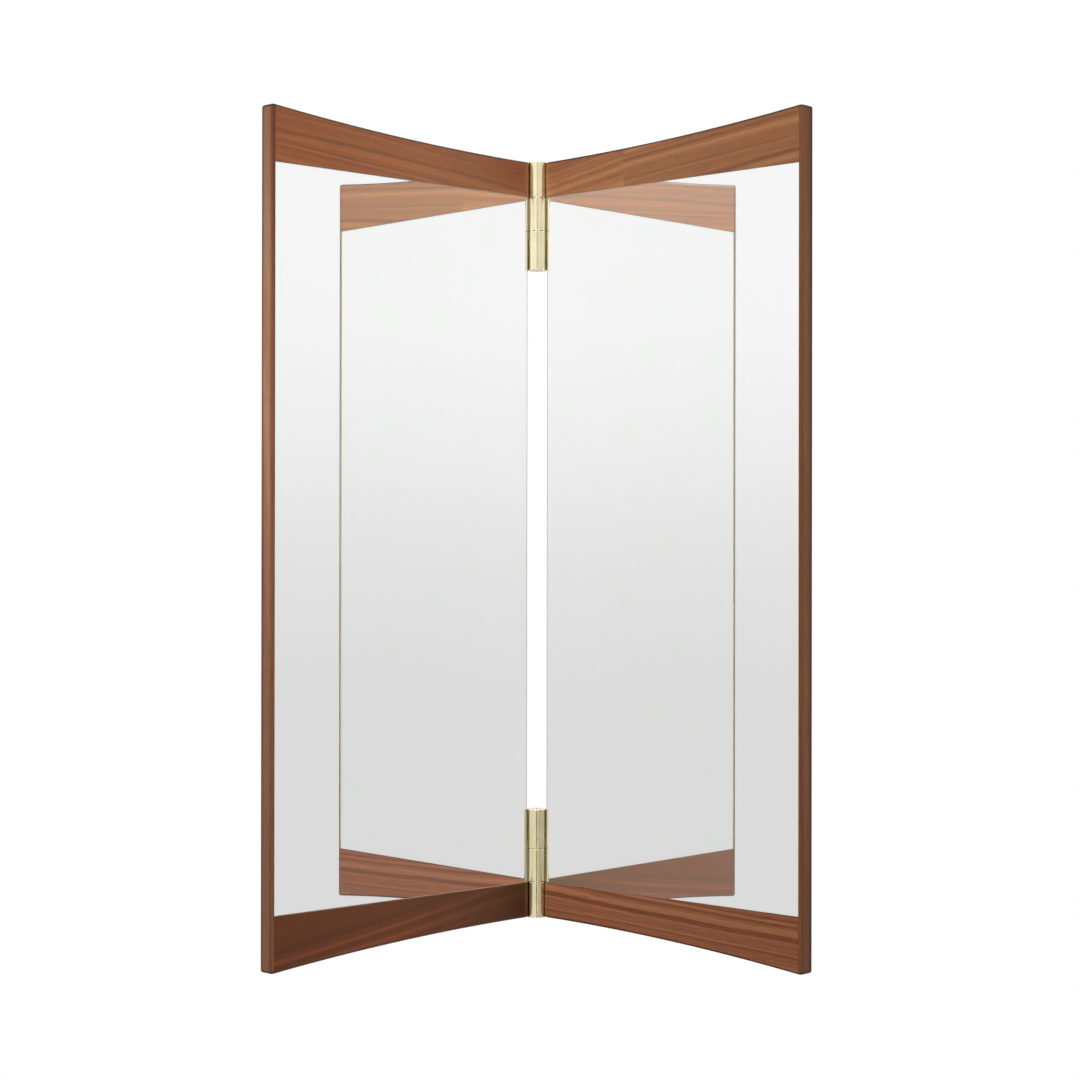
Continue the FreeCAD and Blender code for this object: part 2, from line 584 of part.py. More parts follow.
for side in SIDES:
    make_outer_stile(side)
    for name in LEVELS:
        make_rail(side, name)
    make_hinge_stile(side)
    make_backing_board(side)
    make_mirror(side)
    make_mirror_tape(side)
    make_bumpers(side)
    for name in LEVELS:
        make_hinge_leaf(side, name)
    make_leaf_screws(side)
for name in LEVELS:
    make_wall_knuckle(name)
    make_wall_plate(name)
    make_hinge_pin(name)
make_plate_bolts()
make_thrust_washers()
outer_ends = []
inner_ends = []
for level in LEVELS.values():
    outer_slot = span(level, "(%s - dims.slot_depth)" % TOP, TOP)
    outer_ends.append(span(level, "(%s - dims.plug_depth)" % TOP, TOP) + (outer_slot,))
    inner_slot = span(level, WALL_END, "(%s + dims.slot_depth)" % WALL_END)
    inner_ends.append(span(level, WALL_END, "(%s + dims.plug_depth)" % WALL_END) + (inner_slot,))
make_barrel_plugs("left_barrel_plugs", "left", outer_ends)
make_barrel_plugs("wall_barrel_plugs", None, inner_ends)

doc.recompute()
for thing in doc.Objects:
    if "Invalid" in thing.State or "Error" in thing.State:
        raise RuntimeError("%s failed: %s" % (thing.Label, thing.State))
for body in nodes:
    if body.Shape.isNull() or not body.Shape.isValid() or not body.Shape.Solids:
        raise RuntimeError("%s has no valid shape" % body.Label)

os.makedirs("parts", exist_ok=True)
for body in nodes:
    body.Shape.exportStep("parts/%s.step" % body.Label)
    print("%-26s %2d solids %12.1f mm3" % (body.Label, len(body.Shape.Solids), body.Shape.Volume))
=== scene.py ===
import json
import math

import bpy
from mathutils import Matrix, Vector


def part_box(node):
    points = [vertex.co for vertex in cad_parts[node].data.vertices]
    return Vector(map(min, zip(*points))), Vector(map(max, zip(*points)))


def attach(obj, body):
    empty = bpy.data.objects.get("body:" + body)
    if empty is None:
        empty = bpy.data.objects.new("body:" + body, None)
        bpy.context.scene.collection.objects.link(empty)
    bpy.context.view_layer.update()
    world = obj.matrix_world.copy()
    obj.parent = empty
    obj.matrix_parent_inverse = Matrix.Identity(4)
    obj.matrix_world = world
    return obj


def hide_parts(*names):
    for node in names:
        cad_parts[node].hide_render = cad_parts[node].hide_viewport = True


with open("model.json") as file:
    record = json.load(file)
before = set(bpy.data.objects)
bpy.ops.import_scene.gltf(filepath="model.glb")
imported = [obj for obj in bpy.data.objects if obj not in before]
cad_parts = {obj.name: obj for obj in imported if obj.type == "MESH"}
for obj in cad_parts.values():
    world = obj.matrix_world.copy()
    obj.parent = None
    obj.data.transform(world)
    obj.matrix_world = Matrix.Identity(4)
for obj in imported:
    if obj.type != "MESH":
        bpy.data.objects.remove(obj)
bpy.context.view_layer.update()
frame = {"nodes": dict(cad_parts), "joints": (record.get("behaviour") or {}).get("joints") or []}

# Outer stiles: a full-height walnut bar on each panel's free edge, planed and sanded, with rounded outer
# edges. Behind a narrow front lip it is rebated for the mirror, the board and the rails glued to it.
MM = 0.001
STILE_ROUND = 3.3 * MM
ARRIS = 0.3 * MM
SOFT_ANGLE = math.radians(35)
SHARP_ANGLE = math.radians(40)
CORNER_RISE = 19.0 * MM
BOARD_GAP = 0.2 * MM
OVERCUT = 5.0 * MM
SAME = 0.01 * MM
hinge = Vector(frame["joints"][0]["pos_m"])
open_angle = math.radians(frame["joints"][0]["range_deg"][1])
turned_over = Matrix.Rotation(math.pi, 4, "Y")
PANELS = {
    "left": Matrix.Translation(hinge) @ Matrix.Rotation(open_angle, 4, "Z") @ turned_over,
    "right": Matrix.Translation(hinge) @ Matrix.Rotation(-open_angle, 4, "Z"),
}
GRAIN_TURN = {"left": -open_angle, "right": open_angle}


def seat(node):
    """Lowest and highest corner of a right-hand node in its panel's own frame, X out, Y back and Z up."""
    back = PANELS["right"].inverted()
    corners = [back @ vertex.co for vertex in frame["nodes"][node].data.vertices]
    return Vector(map(min, *corners)), Vector(map(max, *corners))


def block(low, high):
    """A block between two corners, alone selected, as the start of a piece or of a cut."""
    bpy.ops.object.select_all(action="DESELECT")
    middle = [(a + b) / 2 for a, b in zip(low, high)]
    bpy.ops.mesh.primitive_cube_add(size=1, location=middle)
    made = bpy.context.active_object
    made.scale = [b - a for a, b in zip(low, high)]
    bpy.ops.object.transform_apply(location=True, rotation=True, scale=True)
    return made


def modify(piece, kind, **settings):
    """Runs one modifier on a piece and keeps what it makes."""
    modifier = piece.modifiers.new(kind.lower(), kind)
    for name, value in settings.items():
        setattr(modifier, name, value)
    bpy.context.view_layer.objects.active = piece
    bpy.ops.object.modifier_apply(modifier=modifier.name)


def carve(piece, tool, operation="DIFFERENCE"):
    """Cuts one solid from a piece, or joins it on, and removes that solid."""
    modify(piece, "BOOLEAN", operation=operation, solver="EXACT", object=tool)
    bpy.data.objects.remove(tool)


def select(piece):
    """Makes a piece the only one that is selected, and the active one."""
    bpy.ops.object.select_all(action="DESELECT")
    piece.select_set(True)
    bpy.context.view_layer.objects.active = piece


def pick(piece, kind, chosen):
    """Opens a piece for editing, with the vertices, edges or faces selected that pass a test."""
    select(piece)
    bpy.ops.object.mode_set(mode="EDIT")
    bpy.ops.mesh.select_mode(type=kind)
    bpy.ops.mesh.select_all(action="DESELECT")
    bpy.ops.object.mode_set(mode="OBJECT")
    points = piece.data.vertices
    if kind == "VERT":
        for point in points:
            point.select = chosen(point.co)
    elif kind == "EDGE":
        for edge in piece.data.edges:
            edge.select = chosen(*(points[i].co for i in edge.vertices))
    else:
        for polygon in piece.data.polygons:
            polygon.select = chosen(polygon.center)
    bpy.ops.object.mode_set(mode="EDIT")


def round_edges(piece, width, chosen, steps):
    """Rounds the edges of a piece that lie where a test says."""
    pick(piece, "EDGE", chosen)
    bpy.ops.mesh.bevel(offset=width, segments=steps, affect="EDGES")
    bpy.ops.object.mode_set(mode="OBJECT")


def smooth(piece):
    """Shades the rounds of a piece smooth and leaves its broad faces flat right up to them."""
    select(piece)
    bpy.ops.object.shade_smooth_by_angle(angle=SOFT_ANGLE)
    modify(piece, "WEIGHTED_NORMAL", keep_sharp=True)


def sand(piece, width):
    """Takes the sharpness off every edge that is left."""
    modify(piece, "BEVEL", width=width, segments=2, limit_method="ANGLE", angle_limit=SHARP_ANGLE)
    smooth(piece)


def put(pattern, place, body, node, slot, *finishes):
    """Copies a finished pattern to its place, where it rides on a body and stands for its CAD node."""
    select(pattern)
    bpy.ops.object.duplicate()
    piece = bpy.context.active_object
    piece.name = node + "_finished"
    piece.matrix_world = place
    bpy.ops.object.transform_apply(location=True, rotation=True, scale=True)
    for finish in finishes:
        piece.data.materials.append(finish)
    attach(piece, body)
    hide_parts(node)


def linear(code):
    """The linear colour of an sRGB hex code."""
    parts = [int(code[i:i + 2], 16) / 255 for i in (1, 3, 5)]
    return [c / 12.92 if c <= 0.04045 else ((c + 0.055) / 1.055) ** 2.4 for c in parts] + [1.0]


def add(tree, kind, inputs=None, stops=None, **settings):
    """Adds a node with its settings, and with each input set to a value or linked to an output."""
    made = tree.nodes.new("ShaderNode" + kind)
    for name, value in settings.items():
        setattr(made, name, value)
    for socket, value in (inputs or {}).items():
        if isinstance(value, bpy.types.NodeSocket):
            tree.links.new(value, made.inputs[socket])
        else:
            made.inputs[socket].default_value = value
    if stops:
        elements = made.color_ramp.elements
        while len(elements) < len(stops):
            elements.new(0.5)
        for element, (position, colour) in zip(elements, stops):
            element.position = position
            element.color = linear(colour) if isinstance(colour, str) else colour
    return made


MIXED = {"data_type": "RGBA"}
MULTIPLIED = {"data_type": "RGBA", "blend_type": "MULTIPLY"}


def new_material(name):
    """An empty node material and its tree."""
    material = bpy.data.materials.new(name)
    material.use_nodes = True
    material.node_tree.nodes.clear()
    return material, material.node_tree


def in_panel(tree, side):
    """Object coordinates turned to lie along a panel, and the surface's normal."""
    coordinates = add(tree, "TexCoord")
    turn = {"Vector": coordinates.outputs["Object"], "Rotation": (0, 0, GRAIN_TURN[side])}
    return add(tree, "Mapping", turn).outputs[0], coordinates.outputs["Normal"]


# Black walnut, planed and oiled to a satin: brown heartwood in soft bands of 18 and 5 mm, drawn out along
# the board and sloping a little across it, with finer fibres, and with pores drawn three times too wide to
# show. Rounds that face up or down are darker with painted shade. The fibres spread the sheen across.
BROAD_BAND = 18.0 * MM
BROAD_SHARE = 0.7
BAND = 5.0 * MM
FIBRE = 1.5 * MM
FIBRE_SHARE = 0.3
FIBRE_STRETCH = (0.012, 1, 1)
PORE = 0.9 * MM
PORE_STRETCH = (0.04, 1, 1)
PORE_SHADE = ((0.32, (0.78, 0.74, 0.72, 1)), (0.46, (1, 1, 1, 1)))
DRIFT = 60.0 * MM
DRIFT_STRETCH = (0.12, 1, 1)
WANDER = 20.0 * MM
FIGURE_SPAN = {"From Min": 0.35, "From Max": 1.65}
ACROSS = (0, 1, 1)
TONE_STOPS = (0.22, 0.5, 0.78)
ROUND_PAINTED_SHADE = ((0.01, "#ffffff"), (0.2, "#8a7f79"), (0.7, "#625955"), (0.93, "#625955"), (0.985, "#ffffff"))
SQUARE_TO_HINGE = 0.9


def figure(tree, place, upright, slope, heart, tones, wander=WANDER):
    """Colour and relief of one board.

    It is drawn from how the grain lies and slopes, where the heart was, the tones and how far bands wander.
    """
    lie = math.radians(slope) + (math.pi / 2 if upright else 0)
    turn = {"Vector": place, "Rotation": (0, lie, 0), "Location": heart}
    on_board = add(tree, "Mapping", turn).outputs[0]
    slow = add(tree, "VectorMath", {0: on_board, 1: DRIFT_STRETCH}, operation="MULTIPLY").outputs[0]
    drift = add(tree, "TexNoise", {"Vector": slow, "Scale": 1 / DRIFT, "Detail": 2.0}).outputs[0]
    across = add(tree, "VectorMath", {0: on_board, 1: ACROSS}, operation="MULTIPLY").outputs[0]
    ring = add(tree, "VectorMath", {0: across}, operation="LENGTH").outputs[1]
    wavy = add(tree, "Math", {0: drift, 1: wander, 2: ring}, operation="MULTIPLY_ADD").outputs[0]
    seasons = {"W": wavy, "Scale": 1 / BROAD_BAND, "Detail": 1.0}
    broad = add(tree, "TexNoise", seasons, noise_dimensions="1D").outputs[0]
    years = {"W": wavy, "Scale": 1 / BAND, "Detail": 3.0, "Roughness": 0.6}
    growth = add(tree, "TexNoise", years, noise_dimensions="1D").outputs[0]
    thin = add(tree, "VectorMath", {0: on_board, 1: FIBRE_STRETCH}, operation="MULTIPLY").outputs[0]
    fibre = add(tree, "TexNoise", {"Vector": thin, "Scale": 1 / FIBRE, "Detail": 2.0}).outputs[0]
    bands = add(tree, "Math", {0: broad, 1: BROAD_SHARE, 2: growth}, operation="MULTIPLY_ADD").outputs[0]
    mixed = add(tree, "Math", {0: fibre, 1: FIBRE_SHARE, 2: bands}, operation="MULTIPLY_ADD").outputs[0]
    spread = add(tree, "MapRange", {"Value": mixed, **FIGURE_SPAN}).outputs[0]
    colour = add(tree, "ValToRGB", {"Fac": spread}, stops=list(zip(TONE_STOPS, tones))).outputs[0]
    dashes = add(tree, "VectorMath", {0: on_board, 1: PORE_STRETCH}, operation="MULTIPLY").outputs[0]
    speckle = add(tree, "TexNoise", {"Vector": dashes, "Scale": 1 / PORE, "Detail": 1.0}).outputs[0]
    pores = add(tree, "ValToRGB", {"Fac": speckle}, stops=PORE_SHADE).outputs[0]
    relief = add(tree, "Math", {0: fibre, 1: pores}, operation="MULTIPLY").outputs[0]
    pored = add(tree, "Mix", {0: 1.0, 6: colour, 7: pores}, **MULTIPLIED).outputs[2]
    return pored, relief


def walnut(name, side, upright, finish, board, second=None, fades=(), painted_sheen=None):
    """Oiled walnut from one board, or with a second one glued on so far out from the hinge.

    Each fade darkens it with painted shade along X, out from the hinge, along Y, from front to back,
    or along Z, upwards. A painted sheen is a pale tone given to the edge that faces the hinge.
    """
    material, tree = new_material(name)
    on_panel, normal = in_panel(tree, side)
    place = add(tree, "SeparateXYZ", {0: on_panel})
    hinge_place = Matrix.Rotation(GRAIN_TURN[side], 3, "Z") @ hinge
    outward = math.copysign(1, GRAIN_TURN[side])
    colour, relief = figure(tree, on_panel, upright, *board)
    if second:
        joint, second_board = second
        other, _ = figure(tree, on_panel, upright, *second_board)
        seam = hinge_place.x + outward * joint
        beyond = add(tree, "Math", {0: place.outputs[0], 1: seam}, operation="GREATER_THAN")
        colour = add(tree, "Mix", {0: beyond.outputs[0], 6: colour, 7: other}, **MIXED).outputs[2]
    # Painted shade: rounds that face up or down are darker, and each fade darkens the colour along its axis.
    upward = add(tree, "SeparateXYZ", {0: normal}).outputs[2]
    tilt = add(tree, "Math", {0: upward}, operation="ABSOLUTE").outputs[0]
    painted_shades = [add(tree, "ValToRGB", {"Fac": tilt}, stops=ROUND_PAINTED_SHADE)]
    for axis, start, end, codes in fades:
        way = outward if axis == 0 else 1
        ends = {"From Min": hinge_place[axis] + way * start, "From Max": hinge_place[axis] + way * end}
        share = add(tree, "MapRange", {"Value": place.outputs[axis], **ends})
        painted_shades.append(add(tree, "ValToRGB", {"Fac": share.outputs[0]}, stops=codes))
    for shade in painted_shades:
        colour = add(tree, "Mix", {0: 1.0, 6: colour, 7: shade.outputs[0]}, **MULTIPLIED).outputs[2]
    # Painted sheen: the edge that faces the hinge gets a pale tone, seen as a light line in the mirrors.
    if painted_sheen:
        to_hinge = PANELS[side].to_3x3() @ Vector((-1, 0, 0))
        facing = add(tree, "VectorMath", {0: normal, 1: to_hinge}, operation="DOT_PRODUCT").outputs[1]
        inner_edge = add(tree, "Math", {0: facing, 1: SQUARE_TO_HINGE}, operation="GREATER_THAN")
        pale = {0: inner_edge.outputs[0], 6: colour, 7: linear(painted_sheen)}
        colour = add(tree, "Mix", pale, **MIXED).outputs[2]
    slope = math.radians(board[0])
    fibres = Vector((math.sin(slope), 0, 1)) if upright else Vector((1, 0, math.sin(slope)))
    fibres.rotate(Matrix.Rotation(-GRAIN_TURN[side], 3, "Z"))
    across = add(tree, "VectorMath", {0: normal, 1: fibres}, operation="CROSS_PRODUCT")
    bump = add(tree, "Bump", {"Strength": 0.3, "Distance": 0.1 * MM, "Height": relief})
    rough = add(tree, "MapRange", {"Value": relief, "To Min": 0.38, "To Max": 0.48})
    sheen, gloss_tint = finish
    shader = add(
        tree,
        "BsdfPrincipled",
        {
            "Base Color": colour,
            "Roughness": rough.outputs[0],
            "Normal": bump.outputs[0],
            "Specular IOR Level": sheen,
            "Specular Tint": linear(gloss_tint),
            "Anisotropic": 0.75,
            "Tangent": across.outputs[0],
        },
    )
    add(tree, "OutputMaterial", {"Surface": shader.outputs[0]})
    return material


stile_low, stile_high = seat("right_outer_stile")
rail_low, rail_high = seat("right_top_rail")
board_low, board_high = seat("right_backing_board")
pane_low, pane_high = seat("right_mirror_glass")
arch_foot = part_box("left_top_hinge_leaf")[1].z
arch_radius = (stile_high.x ** 2 + CORNER_RISE ** 2) / (2 * CORNER_RISE)


def arch(distance):
    """Height of the arched top edge above the middle, at a distance out from the hinge."""
    return arch_foot + arch_radius - math.sqrt(arch_radius ** 2 - distance ** 2)


stile_end = arch(stile_low.x)
stile = block((stile_low.x, stile_low.y, -stile_end), (stile_high.x, stile_high.y, stile_end))
for level in (1, -1):
    pick(stile, "VERT", lambda p: p.x > stile_high.x - SAME and p.z * level > 0)
    bpy.ops.transform.translate(value=(0, 0, level * (arch(stile_high.x) - stile_end)))
    bpy.ops.object.mode_set(mode="OBJECT")
past_ends = arch(stile_high.x) + OVERCUT
past_side = stile_low.x - OVERCUT
past_front = stile_low.y - OVERCUT
board_seat = board_high.x + BOARD_GAP
carve(stile, block((past_side, past_front, -past_ends), (rail_high.x, board_low.y, past_ends)))
carve(stile, block((past_side, past_front, -past_ends), (board_seat, board_high.y, past_ends)))


def on_outside(a, b):
    """Is the edge on the stile's outer face, or at the front or back of one of its ends?"""
    along_end = abs(a.y - b.y) < SAME and a.z * b.z > 0 and abs(a.x - b.x) > SAME
    front_or_back = a.y < stile_low.y + SAME or a.y > stile_high.y - SAME
    return min(a.x, b.x) > stile_high.x - SAME or (along_end and front_or_back)


round_edges(stile, STILE_ROUND, on_outside, steps=6)
sand(stile, ARRIS)
STILE_WANDER = 6.0 * MM
STILE_BOARDS = {
    "left": (0.4, (0.21, 0.055, 0.34), ("#794f37", "#a26f52", "#c09273"), STILE_WANDER),
    "right": (0.4, (0.47, 0.061, -0.31), ("#5f3622", "#815034", "#9c6a4b"), STILE_WANDER),
}
# Painted shade on the outer stiles, front to back: darker lip and round, and darker towards the back edge.
STILE_DEPTH_PAINTED_SHADE = {
    "left": (
        (0.0, "#b8a698"),
        (0.08, "#bcab9f"),
        (0.25, "#ffffff"),
        (0.65, "#ffffff"),
        (0.9, "#766b65"),
        (0.98, "#766b65"),
        (1.0, "#ffffff"),
    ),
    "right": (
        (0.0, "#e0d0c4"),
        (0.08, "#d8cdc6"),
        (0.25, "#ffffff"),
        (0.55, "#f4f0ee"),
        (0.88, "#685e59"),
        (0.98, "#685e59"),
        (1.0, "#ffffff"),
    ),
}
# Painted shade on the outer stiles, upwards: darker towards the top end, on the left a little at the bottom.
STILE_HEIGHT_PAINTED_SHADE = {
    "left": ((0.0, "#f2f0ee"), (0.3, "#ffffff"), (0.8, "#ffffff"), (0.92, "#e2dedc"), (1.0, "#d4d1cf")),
    "right": ((0.0, "#ffffff"), (0.3, "#ffffff"), (0.55, "#f0edea"), (1.0, "#e6e2de")),
}
STILE_FINISH = (0.3, "#fff0dc")
# Painted sheen: a pale tone on the outer stiles' edge that faces the hinge.
PAINTED_EDGE_SHEEN = "#dccfb8"
for side in PANELS:
    fades = (
        (1, stile_low.y, stile_high.y, STILE_DEPTH_PAINTED_SHADE[side]),
        (2, stile_low.z, stile_high.z, STILE_HEIGHT_PAINTED_SHADE[side]),
    )
    title = "walnut_%s_stile" % side
    wood = walnut(title, side, True, STILE_FINISH, STILE_BOARDS[side], fades=fades, painted_sheen=PAINTED_EDGE_SHEEN)
    put(stile, PANELS[side], side + "_panel", side + "_outer_stile", "walnut", wood)
bpy.data.objects.remove(stile)

# Rails: walnut across the top and bottom of each panel, sawn to one shallow arch outside and left straight
# along the mirror. They lap over the outer stile and are rebated for the mirror and its board.
RAIL_COLUMNS = 28
RAIL_ROUND = 2.5 * MM
INNER_ROUND = 0.5 * MM
GLASS_GAP = 0.5 * MM
LEAF_INSET = 1.0 * MM
LEAF_GAP = 0.1 * MM
TENON_LENGTH = 18.0 * MM
TENON_ROOM = 1.0 * MM
TENON_WIDTH = 12.0 * MM
TENON_THICK = 7.0 * MM
leaf_cover = LEAF_INSET - LEAF_GAP
leaf_seats = {}
for level, node in ((1, "right_top_hinge_leaf"), (-1, "right_bottom_hinge_leaf")):
    low, high = seat(node)
    leaf_seats[level] = (
        (rail_low.x - OVERCUT, board_low.y + leaf_cover, low.z - LEAF_GAP),
        (high.x, rail_high.y - leaf_cover, high.z + LEAF_GAP),
    )
sight = pane_high.z + GLASS_GAP
tongue = rail_low.z
tenon_out = board_low.x - BOARD_GAP
tenon_in = tenon_out - TENON_WIDTH
tenon_middle = (board_low.y + rail_high.y) / 2
tenon_front = tenon_middle - TENON_THICK / 2
tenon_back = tenon_middle + TENON_THICK / 2


def between(level, low, high):
    """Heights in rising order, above the middle or mirrored below it."""
    return (low, high) if level > 0 else (-high, -low)


def make_rail(level):
    """A rail of the upper or lower edge in the panel's own frame.

    Its cuts are the seats of the mirror and the board, the two laps over the outer stile, the hinge stile's
    mortise and the seat of the hinge leaf.
    """
    low, high = between(level, tongue, arch_foot)
    rail = block((rail_low.x, rail_low.y, low), (rail_high.x, rail_high.y, high))
    pick(rail, "EDGE", lambda a, b: abs(a.x - b.x) > SAME)
    bpy.ops.mesh.subdivide(number_cuts=RAIL_COLUMNS)
    bpy.ops.object.mode_set(mode="OBJECT")
    for column in range(RAIL_COLUMNS + 2):
        place = rail_low.x + (rail_high.x - rail_low.x) * column / (RAIL_COLUMNS + 1)
        pick(rail, "VERT", lambda p: abs(p.x - place) < SAME and p.z * level > arch_foot - SAME)
        bpy.ops.transform.translate(value=(0, 0, level * (arch(place) - arch_foot)))
        bpy.ops.object.mode_set(mode="OBJECT")
    start = tongue - OVERCUT
    past_rail = rail_high.x + OVERCUT
    past_back = rail_high.y + OVERCUT
    cuts = (
        ((rail_low.x - OVERCUT, past_front), (past_rail, board_low.y), (start, sight)),
        ((tenon_out, past_front), (board_seat, board_high.y), (start, board_high.z + BOARD_GAP)),
        ((board_seat, board_low.y), (past_rail, past_back), (start, past_ends)),
        ((stile_low.x, board_high.y), (board_seat, past_back), (start, past_ends)),
        ((tenon_in, tenon_front), (tenon_out, tenon_back), (start, tongue + TENON_LENGTH + TENON_ROOM)),
    )
    for near, far, heights in cuts:
        low, high = between(level, *heights)
        carve(rail, block((*near, low), (*far, high)))
    carve(rail, block(*leaf_seats[level]))

    def on_arch(a, b):
        """Is the edge a stretch of the arch's front or back edge?"""
        above = all(abs(p.z * level - arch(p.x)) < SAME for p in (a, b))
        front_or_back = a.y < rail_low.y + SAME or a.y > rail_high.y - SAME
        return above and abs(a.y - b.y) < SAME and front_or_back

    def beside_mirror(a, b):
        """Is the edge a stretch of the front edge along the mirror?"""
        return all(abs(p.z * level - sight) < SAME and p.y < rail_low.y + SAME for p in (a, b))

    round_edges(rail, RAIL_ROUND, on_arch, steps=5)
    round_edges(rail, INNER_ROUND, beside_mirror, steps=3)
    sand(rail, ARRIS)
    return rail


RAIL_BOARDS = {
    ("left", "top"): (-5.0, (0.13, 0.075, -0.52), ("#6c3210", "#92471d", "#ac5d28")),
    ("right", "top"): (9.0, (0.35, 0.082, -0.33), ("#6b3d27", "#915937", "#ac7449")),
    ("left", "bottom"): (8.0, (0.35, 0.068, 0.33), ("#3e1610", "#5c261a", "#7c3f2e")),
    ("right", "bottom"): (-2.3, (0.92, 0.073, 0.53), ("#542c1b", "#88533a", "#a66f50")),
}
SECOND_BOARDS = {
    ("right", "top"): (126.0 * MM, (5.5, (0.71, 0.082, -0.49), ("#623721", "#8a5434", "#a56f4a"))),
}
RAIL_FINISH = {
    ("left", "top"): (0.94, "#f6ffdc"),
    ("right", "top"): (0.75, "#ffecc0"),
    ("left", "bottom"): (0.83, "#ffc078"),
    ("right", "bottom"): (0.2, "#ffc060"),
}
# Painted shade: the two left rails darken towards the hinge.
HINGE_PAINTED_SHADE = {
    ("left", "top"): ((0, rail_low.x, 160.0 * MM, ((0.0, "#dacbc4"), (1.0, "#ffffff"))),),
    ("left", "bottom"): ((0, rail_low.x, 200.0 * MM, ((0.0, "#6c4a42"), (1.0, "#ffffff"))),),
}
for level in (1, -1):
    rail = make_rail(level)
    for side in PANELS:
        # The left panel is the right one turned over, so its upper pattern is its bottom rail.
        edge = "top" if (level > 0) == (side == "right") else "bottom"
        key = (side, edge)
        title = "%s_%s_rail" % key
        extras = (SECOND_BOARDS.get(key), HINGE_PAINTED_SHADE.get(key, ()))
        wood = walnut("walnut_" + title, side, False, RAIL_FINISH[key], RAIL_BOARDS[key], *extras)
        put(rail, PANELS[side], side + "_panel", title, "walnut", wood)
    bpy.data.objects.remove(rail)

# Hinge stiles: the walnut upright behind each mirror's inner edge, tenoned into both rails and mortised for
# the two hinge leaves. It shows only from behind and in the gap between the panels.
HINGE_STILE_SLOPE = 0.6
HINGE_STILE_HEARTS = {"left": (0.63, 0.071, 0.12), "right": (0.29, 0.066, -0.17)}
HINGE_STILE_TONES = ("#5f3524", "#8a553b", "#a66e4b")
post_low, post_high = seat("right_hinge_stile")
hinge_stile = block((post_low.x, post_low.y, -tongue), (post_high.x, post_high.y, tongue))
tenon_end = tongue + TENON_LENGTH
tenons = block((tenon_in, tenon_front, -tenon_end), (tenon_out, tenon_back, tenon_end))
carve(hinge_stile, tenons, "UNION")
rebate_end = tongue + OVERCUT
rebate_far = (post_high.x + OVERCUT, board_high.y, rebate_end)
carve(hinge_stile, block((tenon_out, past_front, -rebate_end), rebate_far))
for corners in leaf_seats.values():
    carve(hinge_stile, block(*corners))
sand(hinge_stile, ARRIS)
for side in PANELS:
    post = (HINGE_STILE_SLOPE, HINGE_STILE_HEARTS[side], HINGE_STILE_TONES)
    wood = walnut("walnut_%s_hinge_stile" % side, side, True, STILE_FINISH, post)
    put(hinge_stile, PANELS[side], side + "_panel", side + "_hinge_stile", "walnut", wood)
bpy.data.objects.remove(hinge_stile)

# Backing boards: 9 mm birch plywood let into rebates in the frame's back, faced with pale sanded veneer.
# Its broad figure runs upright and its edges, hidden in the rebates, would show the plies.
PLYWOOD_ARRIS = 0.4 * MM
VENEER_SLOPE = 1.0
VENEER_WANDER = 110.0 * MM
VENEER_HEARTS = {"left": (0.4, 0.11, -0.17), "right": (1.3, 0.11, 0.21)}
VENEER_TONES = ("#b48f66", "#c9a67c", "#d8ba92")


def birch_plywood(name, side):
    """Rotary-cut birch veneer: wide pale cathedral bands, fine fibres and a dull sanded surface."""
    material, tree = new_material(name)
    on_panel, _ = in_panel(tree, side)
    veneer = (VENEER_SLOPE, VENEER_HEARTS[side], VENEER_TONES, VENEER_WANDER)
    colour, relief = figure(tree, on_panel, True, *veneer)
    rough = add(tree, "MapRange", {"Value": relief, "To Min": 0.55, "To Max": 0.72}).outputs[0]
    bump = add(tree, "Bump", {"Strength": 0.25, "Distance": 0.1 * MM, "Height": relief})
    look = {"Base Color": colour, "Roughness": rough, "Normal": bump.outputs[0]}
    shader = add(tree, "BsdfPrincipled", look)
    add(tree, "OutputMaterial", {"Surface": shader.outputs[0]})
    return material


plywood = block(board_low, board_high)
sand(plywood, PLYWOOD_ARRIS)
for side in PANELS:
    birch = birch_plywood("birch_plywood_" + side, side)
    put(plywood, PANELS[side], side + "_panel", side + "_backing_board", "plywood", birch)
bpy.data.objects.remove(plywood)

# Mirror tape: four upright strips of white foam tape stick each mirror to its board. They lie hidden
# between the two, so the modelled strips stay and only get the matt, closed-cell surface of foam.
FOAM_CELL = 0.6 * MM


def dress(node, finish):
    """Gives its surface to a modelled piece that stays as it is."""
    materials = frame["nodes"][node].data.materials
    materials.clear()
    materials.append(finish)


foam, tree = new_material("white_foam_tape")
on_tape = add(tree, "TexCoord").outputs["Object"]
cells = add(tree, "TexVoronoi", {"Vector": on_tape, "Scale": 1 / FOAM_CELL}).outputs["Distance"]
shade = add(tree, "ValToRGB", {"Fac": cells}, stops=((0.0, "#f0efea"), (0.8, "#d6d5ce"))).outputs[0]
bump = add(tree, "Bump", {"Strength": 0.4, "Distance": 0.1 * MM, "Height": cells})
look = {"Base Color": shade, "Roughness": 0.85, "Normal": bump.outputs[0]}
shader = add(tree, "BsdfPrincipled", look)
add(tree, "OutputMaterial", {"Surface": shader.outputs[0]})
for side in PANELS:
    dress(side + "_mirror_tape", foam)

# Mirrors: 4 mm float glass silvered and painted behind, with ground and polished edges, set on the tape.
# Here a pane fills most of its gap to the rails, so that no light line shows between glass and wood.
GLASS_ARRIS = 0.3 * MM
GLASS_FIT = 0.4 * MM
SQUARE_ON = 0.99
SMEAR = 35.0 * MM
EDGE_SHADE_BAND = (0.8 * MM, 1.6 * MM)
EDGE_PAINTED_SHADE = 0.45
GRIND = 3.0 * MM
ROLLER_MOTTLE = 8.0 * MM

